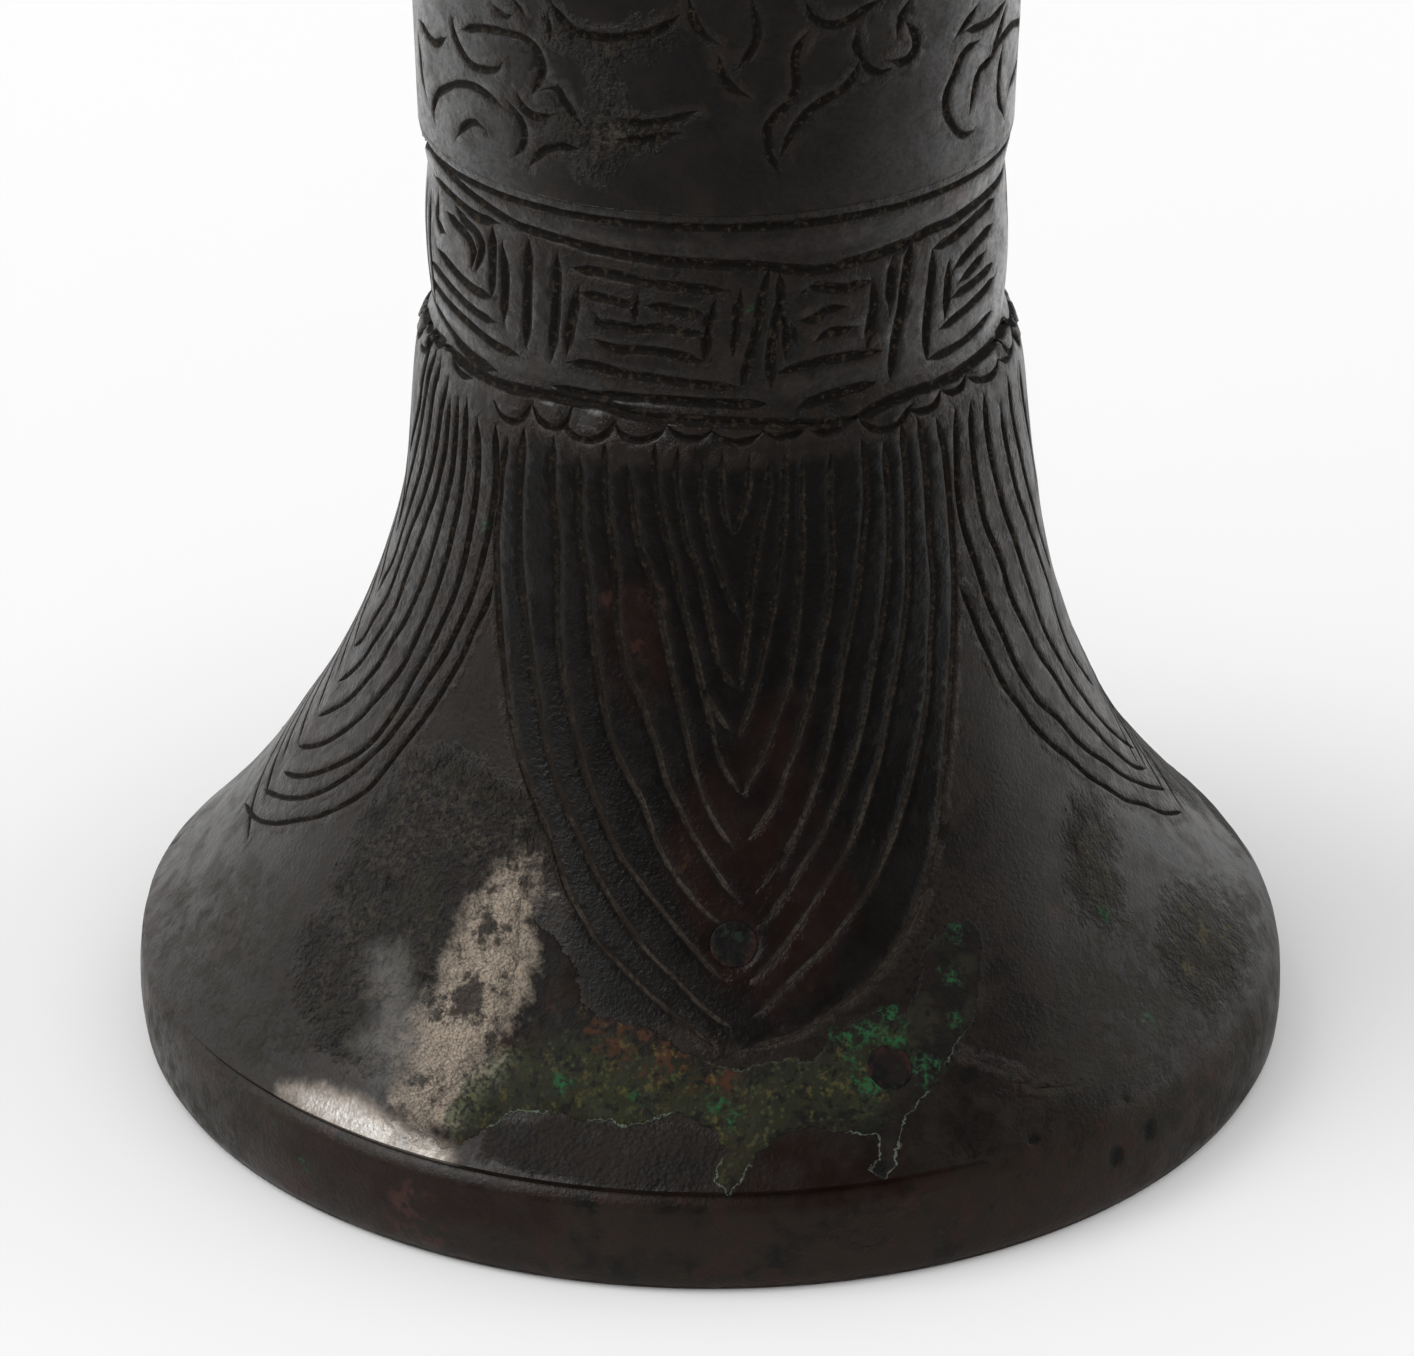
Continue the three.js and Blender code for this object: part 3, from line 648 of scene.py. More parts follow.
fret_top = ring_heights(FRET_TOP_LINE)
fret_bottom = ring_heights(FRET_BOTTOM_LINE)
joint_groove = ring_heights(JOINT_LINE)
scallops = [from_picture(line) for line in SCALLOPS]
for middle in PLAIN_GAP_SCALLOPS:
    swing = np.linspace(0.0, math.pi, SCALLOP_STEPS)
    bearing = np.radians(middle - SCALLOP_PITCH / 2 * np.cos(swing))
    scallops.append(np.stack([bearing, fret_bottom(bearing) - SCALLOP_DROP * np.sin(swing)], 1))
scallops += [turned(line, 180) for line in scallops]
for line in fret:
    foot_engraving.cut(line, FRET_HALF_WIDTH, FRET_DEPTH)
for line in scallops:
    foot_engraving.cut(line, SCALLOP_HALF_WIDTH, SCALLOP_DEPTH)
foot_engraving.ring(fret_top, FRET_HALF_WIDTH, FRET_DEPTH)
foot_engraving.ring(fret_bottom, FRET_HALF_WIDTH, FRET_DEPTH)
foot_engraving.ring(lambda at: np.minimum(joint_groove(at), JOINT_GROOVE_TOP), JOINT_HALF_WIDTH, JOINT_DEPTH)
foot_engraving.finish()
print("foot lines", len(foot_engraving.centres), "fret top", fret_top(-1.5), "bottom", fret_bottom(-1.5))

# %% Cut the knop's scrolls and the neck's bands
SCROLL_HALF_WIDTH = 0.40
SCROLL_DEPTH = 0.24
PICTURE_TOP_HEIGHT = 83.3
TOP_BAND_LIMIT = 80.5
KNOP_MARGIN = 0.6
NECK_LEAF_BEARINGS = (0, 90, 180, 270)
NECK_LINE_SPACING = 0.9

knop_engraving = Engraving(knop_outline)
scrolls = [from_picture(line) for line in KNOP_SCROLLS]
scrolls += [turned(line, 180) for line in scrolls]
over_the_top = [np.stack([s[:, 0], 2 * PICTURE_TOP_HEIGHT - s[:, 1]], 1) for s in scrolls]
top_band = [upside_down(line) for line in scrolls if line[:, 1].max() < TOP_BAND_LIMIT]
low_limit, high_limit = KNOP_BOTTOM + KNOP_MARGIN, KNOP_TOP - KNOP_MARGIN
for line in scrolls + over_the_top + top_band:
    line[:, 1] = np.clip(line[:, 1], low_limit, high_limit)
    knop_engraving.cut(line, SCROLL_HALF_WIDTH, SCROLL_DEPTH)
knop_engraving.finish()

neck_engraving = Engraving(neck_outline)
for degrees in NECK_LEAF_BEARINGS:
    for line in front_leaf:
        neck_engraving.cut(turned(onto_neck(line), degrees), LEAF_HALF_WIDTH, LEAF_DEPTH, NECK_LINE_SPACING)
for line in fret:
    neck_engraving.cut(upside_down(line), FRET_HALF_WIDTH, FRET_DEPTH)
for line in scallops:
    neck_engraving.cut(upside_down(line), SCALLOP_HALF_WIDTH, SCALLOP_DEPTH)
neck_engraving.ring(lambda at: 2 * MIDDLE_HEIGHT - fret_top(at), FRET_HALF_WIDTH, FRET_DEPTH)
neck_engraving.ring(lambda at: 2 * MIDDLE_HEIGHT - fret_bottom(at), FRET_HALF_WIDTH, FRET_DEPTH)
neck_engraving.finish()
print("knop lines", len(knop_engraving.centres), "neck lines", len(neck_engraving.centres))

# %% [markdown]
# A casting like this is a thick ring of metal with a long section. The blank
# is drawn as on a lathe: one vertex is extruded from corner to corner of the
# section, and the closed line is spun round the axis. The engraved outside
# comes later, because a spun mesh has all its edges along the rings and
# columns, and a groove that crosses them would look like a staircase.

# %% Turn a blank from its section
WELD_DISTANCE = 0.008 * MILLIMETRE
WALL_POINT_STRIDE = 4


def deselect_all():
    if bpy.context.mode != "OBJECT":
        bpy.ops.object.mode_set(mode="OBJECT")
    bpy.ops.object.select_all(action="DESELECT")


def select_faces(piece, wanted):
    """Select the faces that a test picks, with nothing else, and stay in edit mode."""
    bpy.ops.object.mode_set(mode="EDIT")
    bpy.ops.mesh.select_mode(type="FACE")
    bpy.ops.mesh.select_all(action="DESELECT")
    bpy.ops.object.mode_set(mode="OBJECT")
    for face in piece.data.polygons:
        face.select = wanted(face)
    bpy.ops.object.mode_set(mode="EDIT")


def weld_and_face_outwards():
    """Merge what touches and turn every face outwards, in edit mode."""
    bpy.ops.mesh.select_all(action="SELECT")
    bpy.ops.mesh.remove_doubles(threshold=WELD_DISTANCE)
    bpy.ops.mesh.normals_make_consistent(inside=False)


def turn_blank(name, section, steps=ROUND_STEPS):
    """A closed section of (radius, height) points, spun round the axis."""
    deselect_all()
    first = (section[0][0] * MILLIMETRE, 0.0, section[0][1] * MILLIMETRE)
    bpy.ops.mesh.primitive_plane_add(size=MILLIMETRE, location=first)
    blank = bpy.context.object
    blank.name = name
    bpy.ops.object.transform_apply(location=True)
    bpy.ops.object.mode_set(mode="EDIT")
    bpy.ops.mesh.select_mode(type="VERT")
    bpy.ops.mesh.select_all(action="SELECT")
    bpy.ops.mesh.merge(type="CENTER")
    here = section[0]
    for there in list(section[1:]) + [section[0]]:
        reach = ((there[0] - here[0]) * MILLIMETRE, 0.0, (there[1] - here[1]) * MILLIMETRE)
        bpy.ops.mesh.extrude_vertices_move(TRANSFORM_OT_translate={"value": reach})
        here = there
    bpy.ops.mesh.select_all(action="SELECT")
    bpy.ops.mesh.remove_doubles(threshold=WELD_DISTANCE)
    bpy.ops.mesh.spin(steps=steps, angle=TURN, center=(0.0, 0.0, 0.0), axis=(0.0, 0.0, 1.0))
    weld_and_face_outwards()
    bpy.ops.object.mode_set(mode="OBJECT")
    return blank


def inside_of(line, wall, radius_range, height_range):
    """The inner side of a wall whose outer side is a line that climbs."""
    along = np.gradient(line, axis=0)
    along /= np.linalg.norm(along, axis=1)[:, None]
    inner = np.stack([line[:, 0] - wall * along[:, 1], line[:, 1] + wall * along[:, 0]], 1)
    keep = (inner[:, 0] > radius_range[0]) & (inner[:, 0] < radius_range[1])
    keep &= (inner[:, 1] > height_range[0]) & (inner[:, 1] < height_range[1])
    return inner[keep][::-WALL_POINT_STRIDE].tolist()


# %% Turn the three castings
SPIGOT_RADIUS, SPIGOT_BORE = 16.1, 13.4
KNOP_BORE = 17.3
COLLAR_BORE = 16.6
FOOT_SPIGOT_TOP, NECK_SPIGOT_BOTTOM = 74.3, 107.3
FOOT_WALL, NECK_WALL = 2.8, 2.6
RIM_BORE, RIM_BORE_HEIGHT = 37.6, 7.0
LIP_INSIDE = 59.2
COLLAR_BORE_TOP, NECK_BORE_BOTTOM, LIP_BORE_TOP = 61.6, 120.0, 216.6
RIM_EDGE, RIM_BORE_EDGE, LIP_EDGE = 0.3, 0.4, 0.4
KNOP_TOP_EDGE, NECK_BOTTOM_EDGE = 20.0, 19.9
MOUTH_EDGE = [(MOUTH_RADIUS - 0.1, 217.8), (MOUTH_RADIUS - 0.5, MOUTH_HEIGHT)]
FOOT_SKIN = (0.8, 68.3)
KNOP_SKIN = (68.8, 112.5)
NECK_SKIN = (114.0, 217.2)
FOOT_STOPS = (FOOT_SKIN[0], 8.0, 16.0, 24.0, 32.0, 44.0, FOOT_SKIN[1])
KNOP_STOPS = (KNOP_SKIN[0], 80.0, 91.0, 102.0, KNOP_SKIN[1])
NECK_STOPS = (NECK_SKIN[0], 122.0, 140.0, 160.0, 180.0, 192.0, 202.0, 208.0, 212.0, 215.0, NECK_SKIN[1])

foot_section = [(FOOT_RIM_RADIUS - RIM_EDGE, 0.0)]
foot_section += [(foot_outline.radius_at(z), z) for z in FOOT_STOPS]
foot_section += [(JOINT_RADIUS, FOOT_TOP), (SPIGOT_RADIUS, FOOT_TOP), (SPIGOT_RADIUS, FOOT_SPIGOT_TOP),
                 (SPIGOT_BORE, FOOT_SPIGOT_TOP), (SPIGOT_BORE, COLLAR_HIGH), (COLLAR_BORE, COLLAR_BORE_TOP)]
foot_section += inside_of(flare, FOOT_WALL, (COLLAR_BORE, RIM_BORE), (RIM_BORE_HEIGHT, COLLAR_BORE_TOP))
foot_section += [(RIM_BORE, RIM_BORE_HEIGHT), (RIM_BORE, RIM_BORE_EDGE), (RIM_BORE + RIM_BORE_EDGE, 0.0)]
foot = turn_blank("foot_casting", foot_section)

knop_section = [(JOINT_RADIUS, KNOP_BOTTOM)] + [(knop_outline.radius_at(z), z) for z in KNOP_STOPS]
knop_section += [(KNOP_TOP_EDGE, KNOP_TOP), (KNOP_BORE, KNOP_TOP), (KNOP_BORE, KNOP_BOTTOM)]
knop = turn_blank("knop_casting", knop_section)

neck_section = [(SPIGOT_BORE, NECK_SPIGOT_BOTTOM), (SPIGOT_RADIUS, NECK_SPIGOT_BOTTOM),
                (SPIGOT_RADIUS, NECK_BOTTOM), (NECK_BOTTOM_EDGE, NECK_BOTTOM)]
neck_section += [(neck_outline.radius_at(z), z) for z in NECK_STOPS]
neck_section += MOUTH_EDGE + [(LIP_INSIDE + LIP_EDGE, MOUTH_HEIGHT)]
neck_section += inside_of(trumpet, NECK_WALL, (COLLAR_BORE, LIP_INSIDE), (NECK_BORE_BOTTOM, LIP_BORE_TOP))
neck_section += [(COLLAR_BORE, NECK_BORE_BOTTOM), (SPIGOT_BORE, NECK_COLLAR_LOW)]
neck = turn_blank("neck_casting", neck_section)
for blank in (foot, knop, neck):
    print(blank.name, len(blank.data.vertices), "vertices in the blank")

# %% [markdown]
# The outside is laid again as a skin of triangles. Rows of points cover it
# evenly, the guide lines of every groove are added, and Blender's constrained
# triangulation joins them so that no triangle crosses a guide line. It works
# on the flat sheet of bearing and climb, and is then rolled up.

# %% Lay the engraved skin
ROW_CLEARANCE = 0.2
CLOSED_RING = TURN - 0.1
BAND_SLACK = 0.01
OUTER_WALL = 1.3


def rows_of_points(engraving, low, high, grain, key_heights):
    """Points in staggered rows, their edges along the key rings, and the seam's points."""
    outline = engraving.outline
    marks = sorted({low, high, *key_heights})
    climbs, is_key = [], []
    for start, end in zip(marks[:-1], marks[1:]):
        first, last = outline.climb_at(start), outline.climb_at(end)
        radius = (outline.radius_at(start) + outline.radius_at(end)) / 2
        count = max(1, round((last - first) * radius / grain))
        climbs += [first + (last - first) * step / count for step in range(count)]
        is_key += [True] + [False] * (count - 1)
    climbs.append(outline.climb_at(high))
    is_key.append(True)
    rows = []
    for number, (climb, key) in enumerate(zip(climbs, is_key)):
        edge_row = number in (0, len(climbs) - 1)
        radius = outline.radius_at(outline.height_at(climb))
        columns = ROUND_STEPS if edge_row else round(TURN * radius / grain)
        shift = 0.0 if key or number % 2 else 0.5
        inner = (np.arange(1 if shift == 0.0 else 0, columns) + shift) / columns
        bearing = np.concatenate([[0.0], inner, [1.0]]) * TURN + SEAM_START
        rows.append((np.stack([bearing, np.full(len(bearing), climb)], 1), key))
    return rows


def lay_skin(name, engraving, low, high, grain, key_heights=()):
    """A mesh of the outside between two heights, still without relief."""
    points, edges = [], []

    def add(line, joined):
        start = sum(len(p) for p in points)
        points.append(line)
        if joined:
            near = np.abs(np.diff(line[:, 0])) < math.pi
            edges.extend((start + i, start + i + 1) for i in np.flatnonzero(near))
        return start

    rows = rows_of_points(engraving, low, high, grain, key_heights)
    seam_left, seam_right = [], []
    for row, key in rows:
        if not key:
            distance, index = engraving.nearest(engraving.place(row))
            clear = distance > engraving.width[index] + ROW_CLEARANCE
            clear[[0, -1]] = True
            row = row[clear]
        start = add(row, key)
        seam_left.append(start)
        seam_right.append(start + len(row) - 1)
    edges.extend(zip(seam_left[:-1], seam_left[1:]))
    edges.extend(zip(seam_right[:-1], seam_right[1:]))
    bottom, top = rows[0][0][0, 1], rows[-1][0][0, 1]
    for guide in engraving.guides:
        guide = guide.copy()
        if abs(guide[-1, 0] - guide[0, 0]) < CLOSED_RING:
            guide[:, 0] = round_the_axis(guide[:, 0])
        if guide[:, 1].min() > bottom and guide[:, 1].max() < top:
            add(guide, True)
    flat = [Vector(p) for p in np.vstack(points)]
    laid = delaunay_2d_cdt(flat, edges, [], 0, TINY)
    sheet = np.array([v[:] for v in laid[0]])
    mesh = bpy.data.meshes.new(name)
    mesh.from_pydata(engraving.place(sheet) * MILLIMETRE, [], laid[2])
    skin = bpy.data.objects.new(name, mesh)
    bpy.context.scene.collection.objects.link(skin)
    return skin


def is_outside(face, blank, outline, low, high):
    """Whether a face is one of the blank's plain outer ones between two heights."""
    heights = [blank.data.vertices[i].co.z / MILLIMETRE for i in face.vertices]
    radius = math.hypot(face.center.x, face.center.y) / MILLIMETRE
    height = face.center.z / MILLIMETRE
    inside_band = min(heights) > low - BAND_SLACK and max(heights) < high + BAND_SLACK
    return bool(inside_band and radius > outline.radius_at(height) - OUTER_WALL)


def dress_blank(blank, engraving, limits, grain, key_heights=()):
    """Swap the blank's outer faces for the engraved skin, and weld the two."""
    skin = lay_skin(blank.name + "_skin", engraving, *limits, grain, key_heights)
    deselect_all()
    bpy.context.view_layer.objects.active = blank
    blank.select_set(True)
    select_faces(blank, lambda face: is_outside(face, blank, engraving.outline, *limits))
    bpy.ops.mesh.delete(type="FACE")
    bpy.ops.object.mode_set(mode="OBJECT")
    skin.select_set(True)
    bpy.ops.object.join()
    bpy.ops.object.mode_set(mode="EDIT")
    bpy.ops.mesh.select_mode(type="VERT")
    weld_and_face_outwards()
    bpy.ops.object.mode_set(mode="OBJECT")
    triangles = sum(len(face.vertices) - 2 for face in blank.data.polygons)
    open_edges = count_open_edges(blank.data)
    print(blank.name, triangles, "triangles,", open_edges, "open edges")


def count_open_edges(mesh):
    """Edges that don't have exactly two faces: none, on a closed mesh."""
    use = np.zeros(len(mesh.edges), int)
    for face in mesh.polygons:
        for key in face.loop_indices:
            use[mesh.loops[key].edge_index] += 1
    return int((use != 2).sum())


# %% [markdown]
# Founders close the holes that their core pins leave with small round plugs.
# Each plug sits in a shallow socket, so a guide circle is laid round each
# socket before the skin is made.

# %% Where the plugs sit
PLUG_RADIUS = 1.6
SOCKET_RADIUS = 1.63
SOCKET_LIP = 1.84
SOCKET_STEPS = 28
SOCKET_DEPTH = 0.16
FOOT_PLUGS = [(20.3, -86.4), (12.8, -70.1), (25.0, 35.0), (16.5, 158.0)]
NECK_PLUG_HEIGHT = NECK_BOTTOM + 55.0
NECK_PLUGS = [(NECK_PLUG_HEIGHT, degrees) for degrees in (-38.0, 82.0, 202.0)]


def lay_socket(engraving, height, degrees):
    """Guide circles where a plug's socket begins and ends."""
    climb = engraving.outline.climb_at(height)
    radius = engraving.outline.radius_at(height)
    swing = np.linspace(0.0, TURN, SOCKET_STEPS + 1)
    for size in (SOCKET_RADIUS, SOCKET_LIP):
        bearing = math.radians(degrees) + np.cos(swing) * size / radius
        engraving.guides.append(np.stack([bearing, climb + np.sin(swing) * size / radius], 1))


for height, degrees in FOOT_PLUGS:
    lay_socket(foot_engraving, height, degrees)
for height, degrees in NECK_PLUGS:
    lay_socket(neck_engraving, height, degrees)

# %% Dress the three blanks
FOOT_GRAIN, KNOP_GRAIN, NECK_GRAIN = 0.66, 0.85, 1.05
FOOT_EDGES = (RIM_TOP, CREASE_HEIGHT, STEP_HEIGHT, FLARE_BOTTOM, LEDGE_HEIGHT, COLLAR_LOW, COLLAR_HIGH)
NECK_EDGES = (NECK_COLLAR_LOW, NECK_COLLAR_HIGH, NECK_LEDGE, LIP_BOTTOM)

dress_blank(foot, foot_engraving, FOOT_SKIN, FOOT_GRAIN, FOOT_EDGES)
dress_blank(knop, knop_engraving, KNOP_SKIN, KNOP_GRAIN)
dress_blank(neck, neck_engraving, NECK_SKIN, NECK_GRAIN, NECK_EDGES)

# %% [markdown]
# Bronze that lay in the ground carries crusts of corrosion. The outlines of
# the larger ones were traced on the photograph and are measured here from
# their edges, in millimetres: the mesh gets their thickness, and the
# materials later get their colour from the same measure.

# %% Traced outlines of the crusts, the worn places, and the places of painted highlight and shade
GREEN_CRUST = [
    (545, 850), (547, 870), (532, 890), (528, 900), (535, 915), (545, 930), (560, 945), (572, 960),
    (578, 985), (580, 1005), (600, 1018), (630, 1020), (655, 1030), (670, 1040), (700, 1058), (735, 1070),
    (775, 1062), (815, 1060), (826, 1045), (835, 1033), (858, 1017), (880, 1015), (905, 1013), (920, 990),
    (925, 975), (920, 960), (930, 940), (945, 930), (965, 920), (985, 940), (980, 985), (975, 1020),
    (955, 1045), (938, 1075), (932, 1090), (905, 1115), (900, 1130), (895, 1170), (882, 1180), (870, 1170),
    (880, 1160), (878, 1138), (840, 1130), (795, 1127), (765, 1148), (750, 1165), (728, 1200), (725, 1190),
    (712, 1180), (720, 1165), (728, 1155), (715, 1130), (700, 1125), (685, 1113), (660, 1118), (625, 1125),
    (560, 1113), (512, 1112), (490, 1125), (470, 1140), (445, 1150), (420, 1125), (445, 1095), (470, 1075),
    (495, 1050), (510, 1010), (520, 960), (520, 910), (530, 870)]
BROWN_GRIT = [
    (405, 760), (390, 790), (365, 815), (355, 850), (335, 885), (345, 900), (305, 925), (298, 985),
    (330, 1040), (400, 1070), (425, 1120), (460, 1080), (495, 1040), (512, 980), (520, 910), (540, 860),
    (530, 805), (485, 780), (440, 755)]
# Tan metal on the shoulder where its highlight falls: part wear, part painted highlight.
WORN_SHOULDER_AND_HIGHLIGHT = [
    (525, 860), (532, 890), (520, 925), (522, 960), (512, 1005), (495, 1045), (470, 1075), (445, 1112),
    (415, 1125), (400, 1100), (405, 1060), (420, 1015), (450, 965), (480, 905), (505, 870)]
# A rubbed patch on the shoulder that is brightest along the crease: part polish, part painted highlight.
POLISHED_SHOULDER_HIGHLIGHT = [
    (280, 1082), (322, 1083), (356, 1093), (388, 1109), (414, 1124), (436, 1137), (457, 1151), (456, 1175),
    (420, 1165), (380, 1155), (340, 1135), (300, 1112), (276, 1094)]
# Where a grey sheen falls on the shoulder: a painted sheen.
PAINTED_SHEEN_OUTLINE = [
    (368, 950), (392, 945), (408, 960), (414, 1000), (428, 1040), (420, 1075), (392, 1082), (362, 1062),
    (352, 1040), (376, 1025), (372, 990)]
GREEN_MOSS = [
    (445, 1115), (480, 1070), (510, 1045), (560, 1035), (620, 1040), (680, 1062), (720, 1078), (770, 1070),
    (802, 1066), (800, 1122), (770, 1146), (742, 1170), (722, 1192), (710, 1160), (700, 1122), (660, 1120),
    (600, 1122), (540, 1114), (500, 1117), (460, 1141)]
MOSS_BELOW_TIP = [
    (772, 1064), (830, 1047), (868, 1036), (906, 1030), (902, 1075), (882, 1112), (850, 1124), (800, 1122),
    (770, 1112)]
OCHRE_MOSS = [
    (590, 1000), (625, 1012), (668, 1032), (706, 1052), (740, 1066), (740, 1092), (700, 1098), (655, 1082),
    (610, 1062), (575, 1032)]
PINK_RIM = [
    (392, 1190), (412, 1184), (432, 1196), (428, 1216), (440, 1232), (436, 1252), (410, 1250), (396, 1232),
    (386, 1212)]
LEFT_OLIVE = [
    (180, 880), (260, 870), (290, 900), (295, 980), (310, 1040), (300, 1075), (240, 1060), (190, 1010),
    (165, 960), (165, 910)]
RIGHT_OLIVE = [
    (1155, 905), (1180, 880), (1225, 880), (1262, 900), (1262, 960), (1225, 1010), (1170, 1015), (1145, 970)]
RIGHT_ROUGH = [
    (1172, 900), (1195, 892), (1225, 905), (1240, 935), (1232, 975), (1205, 1000), (1180, 985), (1165, 950)]
RIGHT_FLAKE = [
    (1078, 800), (1082, 815), (1072, 835), (1080, 870), (1078, 890), (1085, 905), (1105, 922), (1118, 900),
    (1108, 860), (1110, 830), (1100, 805)]
RED_LEAF_TOP = [
    (600, 575), (635, 582), (655, 610), (668, 650), (662, 705), (640, 715), (615, 690), (602, 640)]
RED_LEAF_POINT = [
    (690, 790), (735, 740), (780, 690), (810, 700), (800, 760), (840, 840), (860, 900), (830, 980),
    (780, 1020), (720, 985), (690, 920), (660, 850)]
# The front leaf's ground, painted near black: part dark patina, part painted shade.
LEAF_GROUND_PAINTED_SHADE = FRONT_LEAF_LEFT[0] + FRONT_LEAF_RIGHT[0][::-1]
DARK_BESIDE_LEAF = [
    (585, 900), (612, 915), (655, 965), (690, 1010), (672, 1030), (643, 1024), (600, 1016), (584, 1004),
    (579, 980), (574, 958), (565, 945), (568, 920)]
KNOP_CRUST = [
    (560, 118), (578, 120), (600, 114), (622, 122), (640, 128), (650, 140), (636, 152), (622, 150),
    (618, 164), (600, 172), (584, 168), (576, 152), (562, 146), (548, 136)]
KNOP_STREAK = [(598, 40), (612, 42), (613, 72), (610, 104), (600, 104), (596, 74)]
KNOP_STAIN = [
    (556, 22), (590, 34), (640, 32), (662, 24), (668, 34), (650, 46), (612, 52), (572, 44), (552, 32)]
COLLAR_BLUSH = [
    (744, 246), (790, 236), (850, 228), (872, 226), (868, 238), (820, 250), (780, 262), (748, 262)]
COLLAR_RED = [(960, 176), (975, 172), (984, 184), (976, 206), (960, 212), (950, 200)]
RIM_GRIT = [
    (150, 980), (175, 1010), (205, 1050), (240, 1085), (262, 1112), (240, 1150), (205, 1135), (172, 1098),
    (152, 1045)]
RIM_BROWN = [
    (300, 1130), (380, 1160), (470, 1185), (560, 1200), (560, 1235), (460, 1225), (360, 1205), (300, 1170)]
RED_RIM = [
    (720, 1140), (800, 1140), (900, 1145), (900, 1190), (800, 1210), (730, 1205)]
GREY_SHOULDER = [
    (490, 1128), (560, 1118), (640, 1126), (700, 1130), (722, 1150), (712, 1180), (690, 1190), (600, 1182),
    (540, 1170), (480, 1155)]


def measured_from(picture_outline, outline):
    """A traced outline as (bearing, climb) points."""
    traced = from_picture(picture_outline)
    return np.stack([traced[:, 0], outline.climb_at(traced[:, 1])], 1)


def depth_inside(places, patch, outline):
    """Millimetres from a patch's edge: more than 0 inside it, less than 0 outside."""
    middle = (patch[:, 0].min() + patch[:, 0].max()) / 2
    u = (places[:, 0] - middle + math.pi) % TURN - math.pi + middle
    v = places[:, 1]
    nearest = np.full(len(places), np.inf)
    inside = np.zeros(len(places), bool)
    for (u0, v0), (u1, v1) in zip(patch, np.roll(patch, -1, axis=0)):
        du, dv = u1 - u0, v1 - v0
        share = np.clip(((u - u0) * du + (v - v0) * dv) / max(du * du + dv * dv, NO_LENGTH), 0.0, 1.0)
        nearest = np.minimum(nearest, np.hypot(u - u0 - share * du, v - v0 - share * dv))
        crosses = (v0 > v) != (v1 > v)
        inside ^= crosses & (u < u0 + (v - v0) / (dv if dv else NO_LENGTH) * du)
    radius = outline.radius_at(outline.height_at(v))
    return np.where(inside, nearest, -nearest) * radius


# %% Patches of each kind on the foot, with copies for its far side
front = {
    "green": [GREEN_CRUST], "moss": [GREEN_MOSS, MOSS_BELOW_TIP],
    "ochre": [OCHRE_MOSS], "grit": [BROWN_GRIT],
    "worn": [WORN_SHOULDER_AND_HIGHLIGHT], "polish_and_highlight": [POLISHED_SHOULDER_HIGHLIGHT], "sheen": [PAINTED_SHEEN_OUTLINE],
    "grey": [GREY_SHOULDER], "olive": [LEFT_OLIVE, RIGHT_OLIVE, RIM_GRIT],
    "rough": [RIGHT_ROUGH, RIGHT_FLAKE],
    "red": [RED_LEAF_TOP, RED_LEAF_POINT, RED_RIM, RIM_BROWN, COLLAR_BLUSH],
    "earth": [PINK_RIM, COLLAR_RED], "leaf": [LEAF_GROUND_PAINTED_SHADE, DARK_BESIDE_LEAF],
}
front_of_knop = {"grit": [KNOP_CRUST, KNOP_STREAK, KNOP_STAIN]}
FAR_COPIES = {
    "green": (195,), "moss": (195,), "ochre": (195,), "grit": (150, -95),
    "worn": (), "polish_and_highlight": (), "sheen": (),
    "grey": (120,), "olive": (120,), "rough": (120, 60), "red": (170, 260), "earth": (140,), "leaf": (180,),
}
PATCH_REACH = 3.0


def all_round(traced_patches, outline):
    """The traced patches of each kind, with their copies on the far side."""
    found = {}
    for kind, traced_outlines in traced_patches.items():
        patches = [measured_from(traced, outline) for traced in traced_outlines]
        patches += [turned(patch, degrees) for patch in patches for degrees in FAR_COPIES[kind]]
        found[kind] = patches
    return found


foot_patches = all_round(front, foot_outline)
knop_patches = all_round(front_of_knop, knop_outline)

# %% Spots: middle in the picture and radius in millimetres
EMERALD_SPOTS = [
    (848, 1040, 0.9), (866, 1034, 0.6), (893, 1018, 0.6), (893, 1040, 0.6), (858, 1068, 0.7),
    (868, 1085, 0.8), (928, 1070, 0.8), (920, 1080, 0.6), (958, 935, 0.4), (950, 975, 0.4),
    (1146, 1020, 0.5), (1102, 914, 0.3), (752, 310, 0.25), (487, 522, 0.3), (272, 1120, 0.3),
    (305, 1168, 0.4), (955, 1022, 0.4), (744, 944, 0.3), (560, 1085, 0.5), (635, 1100, 0.4),
    (715, 1100, 0.5), (735, 1125, 0.4)]
PINK_SPOTS = [
    (1056, 910, 0.5), (1052, 902, 0.4), (207, 855, 0.7), (1125, 1060, 0.4), (1105, 1080, 0.3),
    (1215, 1075, 0.4), (720, 948, 0.7), (652, 600, 0.8), (640, 650, 0.7), (608, 598, 0.5),
    (980, 218, 0.6), (553, 1003, 0.6)]
DARK_PITS = [
    (1115, 1155, 0.7), (1035, 1140, 0.4), (1150, 1130, 0.6), (1125, 1100, 0.4), (880, 1169, 0.5),
    (390, 885, 0.6), (430, 985, 0.8), (372, 1012, 0.9), (975, 1120, 0.4), (1262, 948, 0.3)]
FOOT_SPOTS = {"emerald": EMERALD_SPOTS, "pink": PINK_SPOTS, "pit": DARK_PITS}


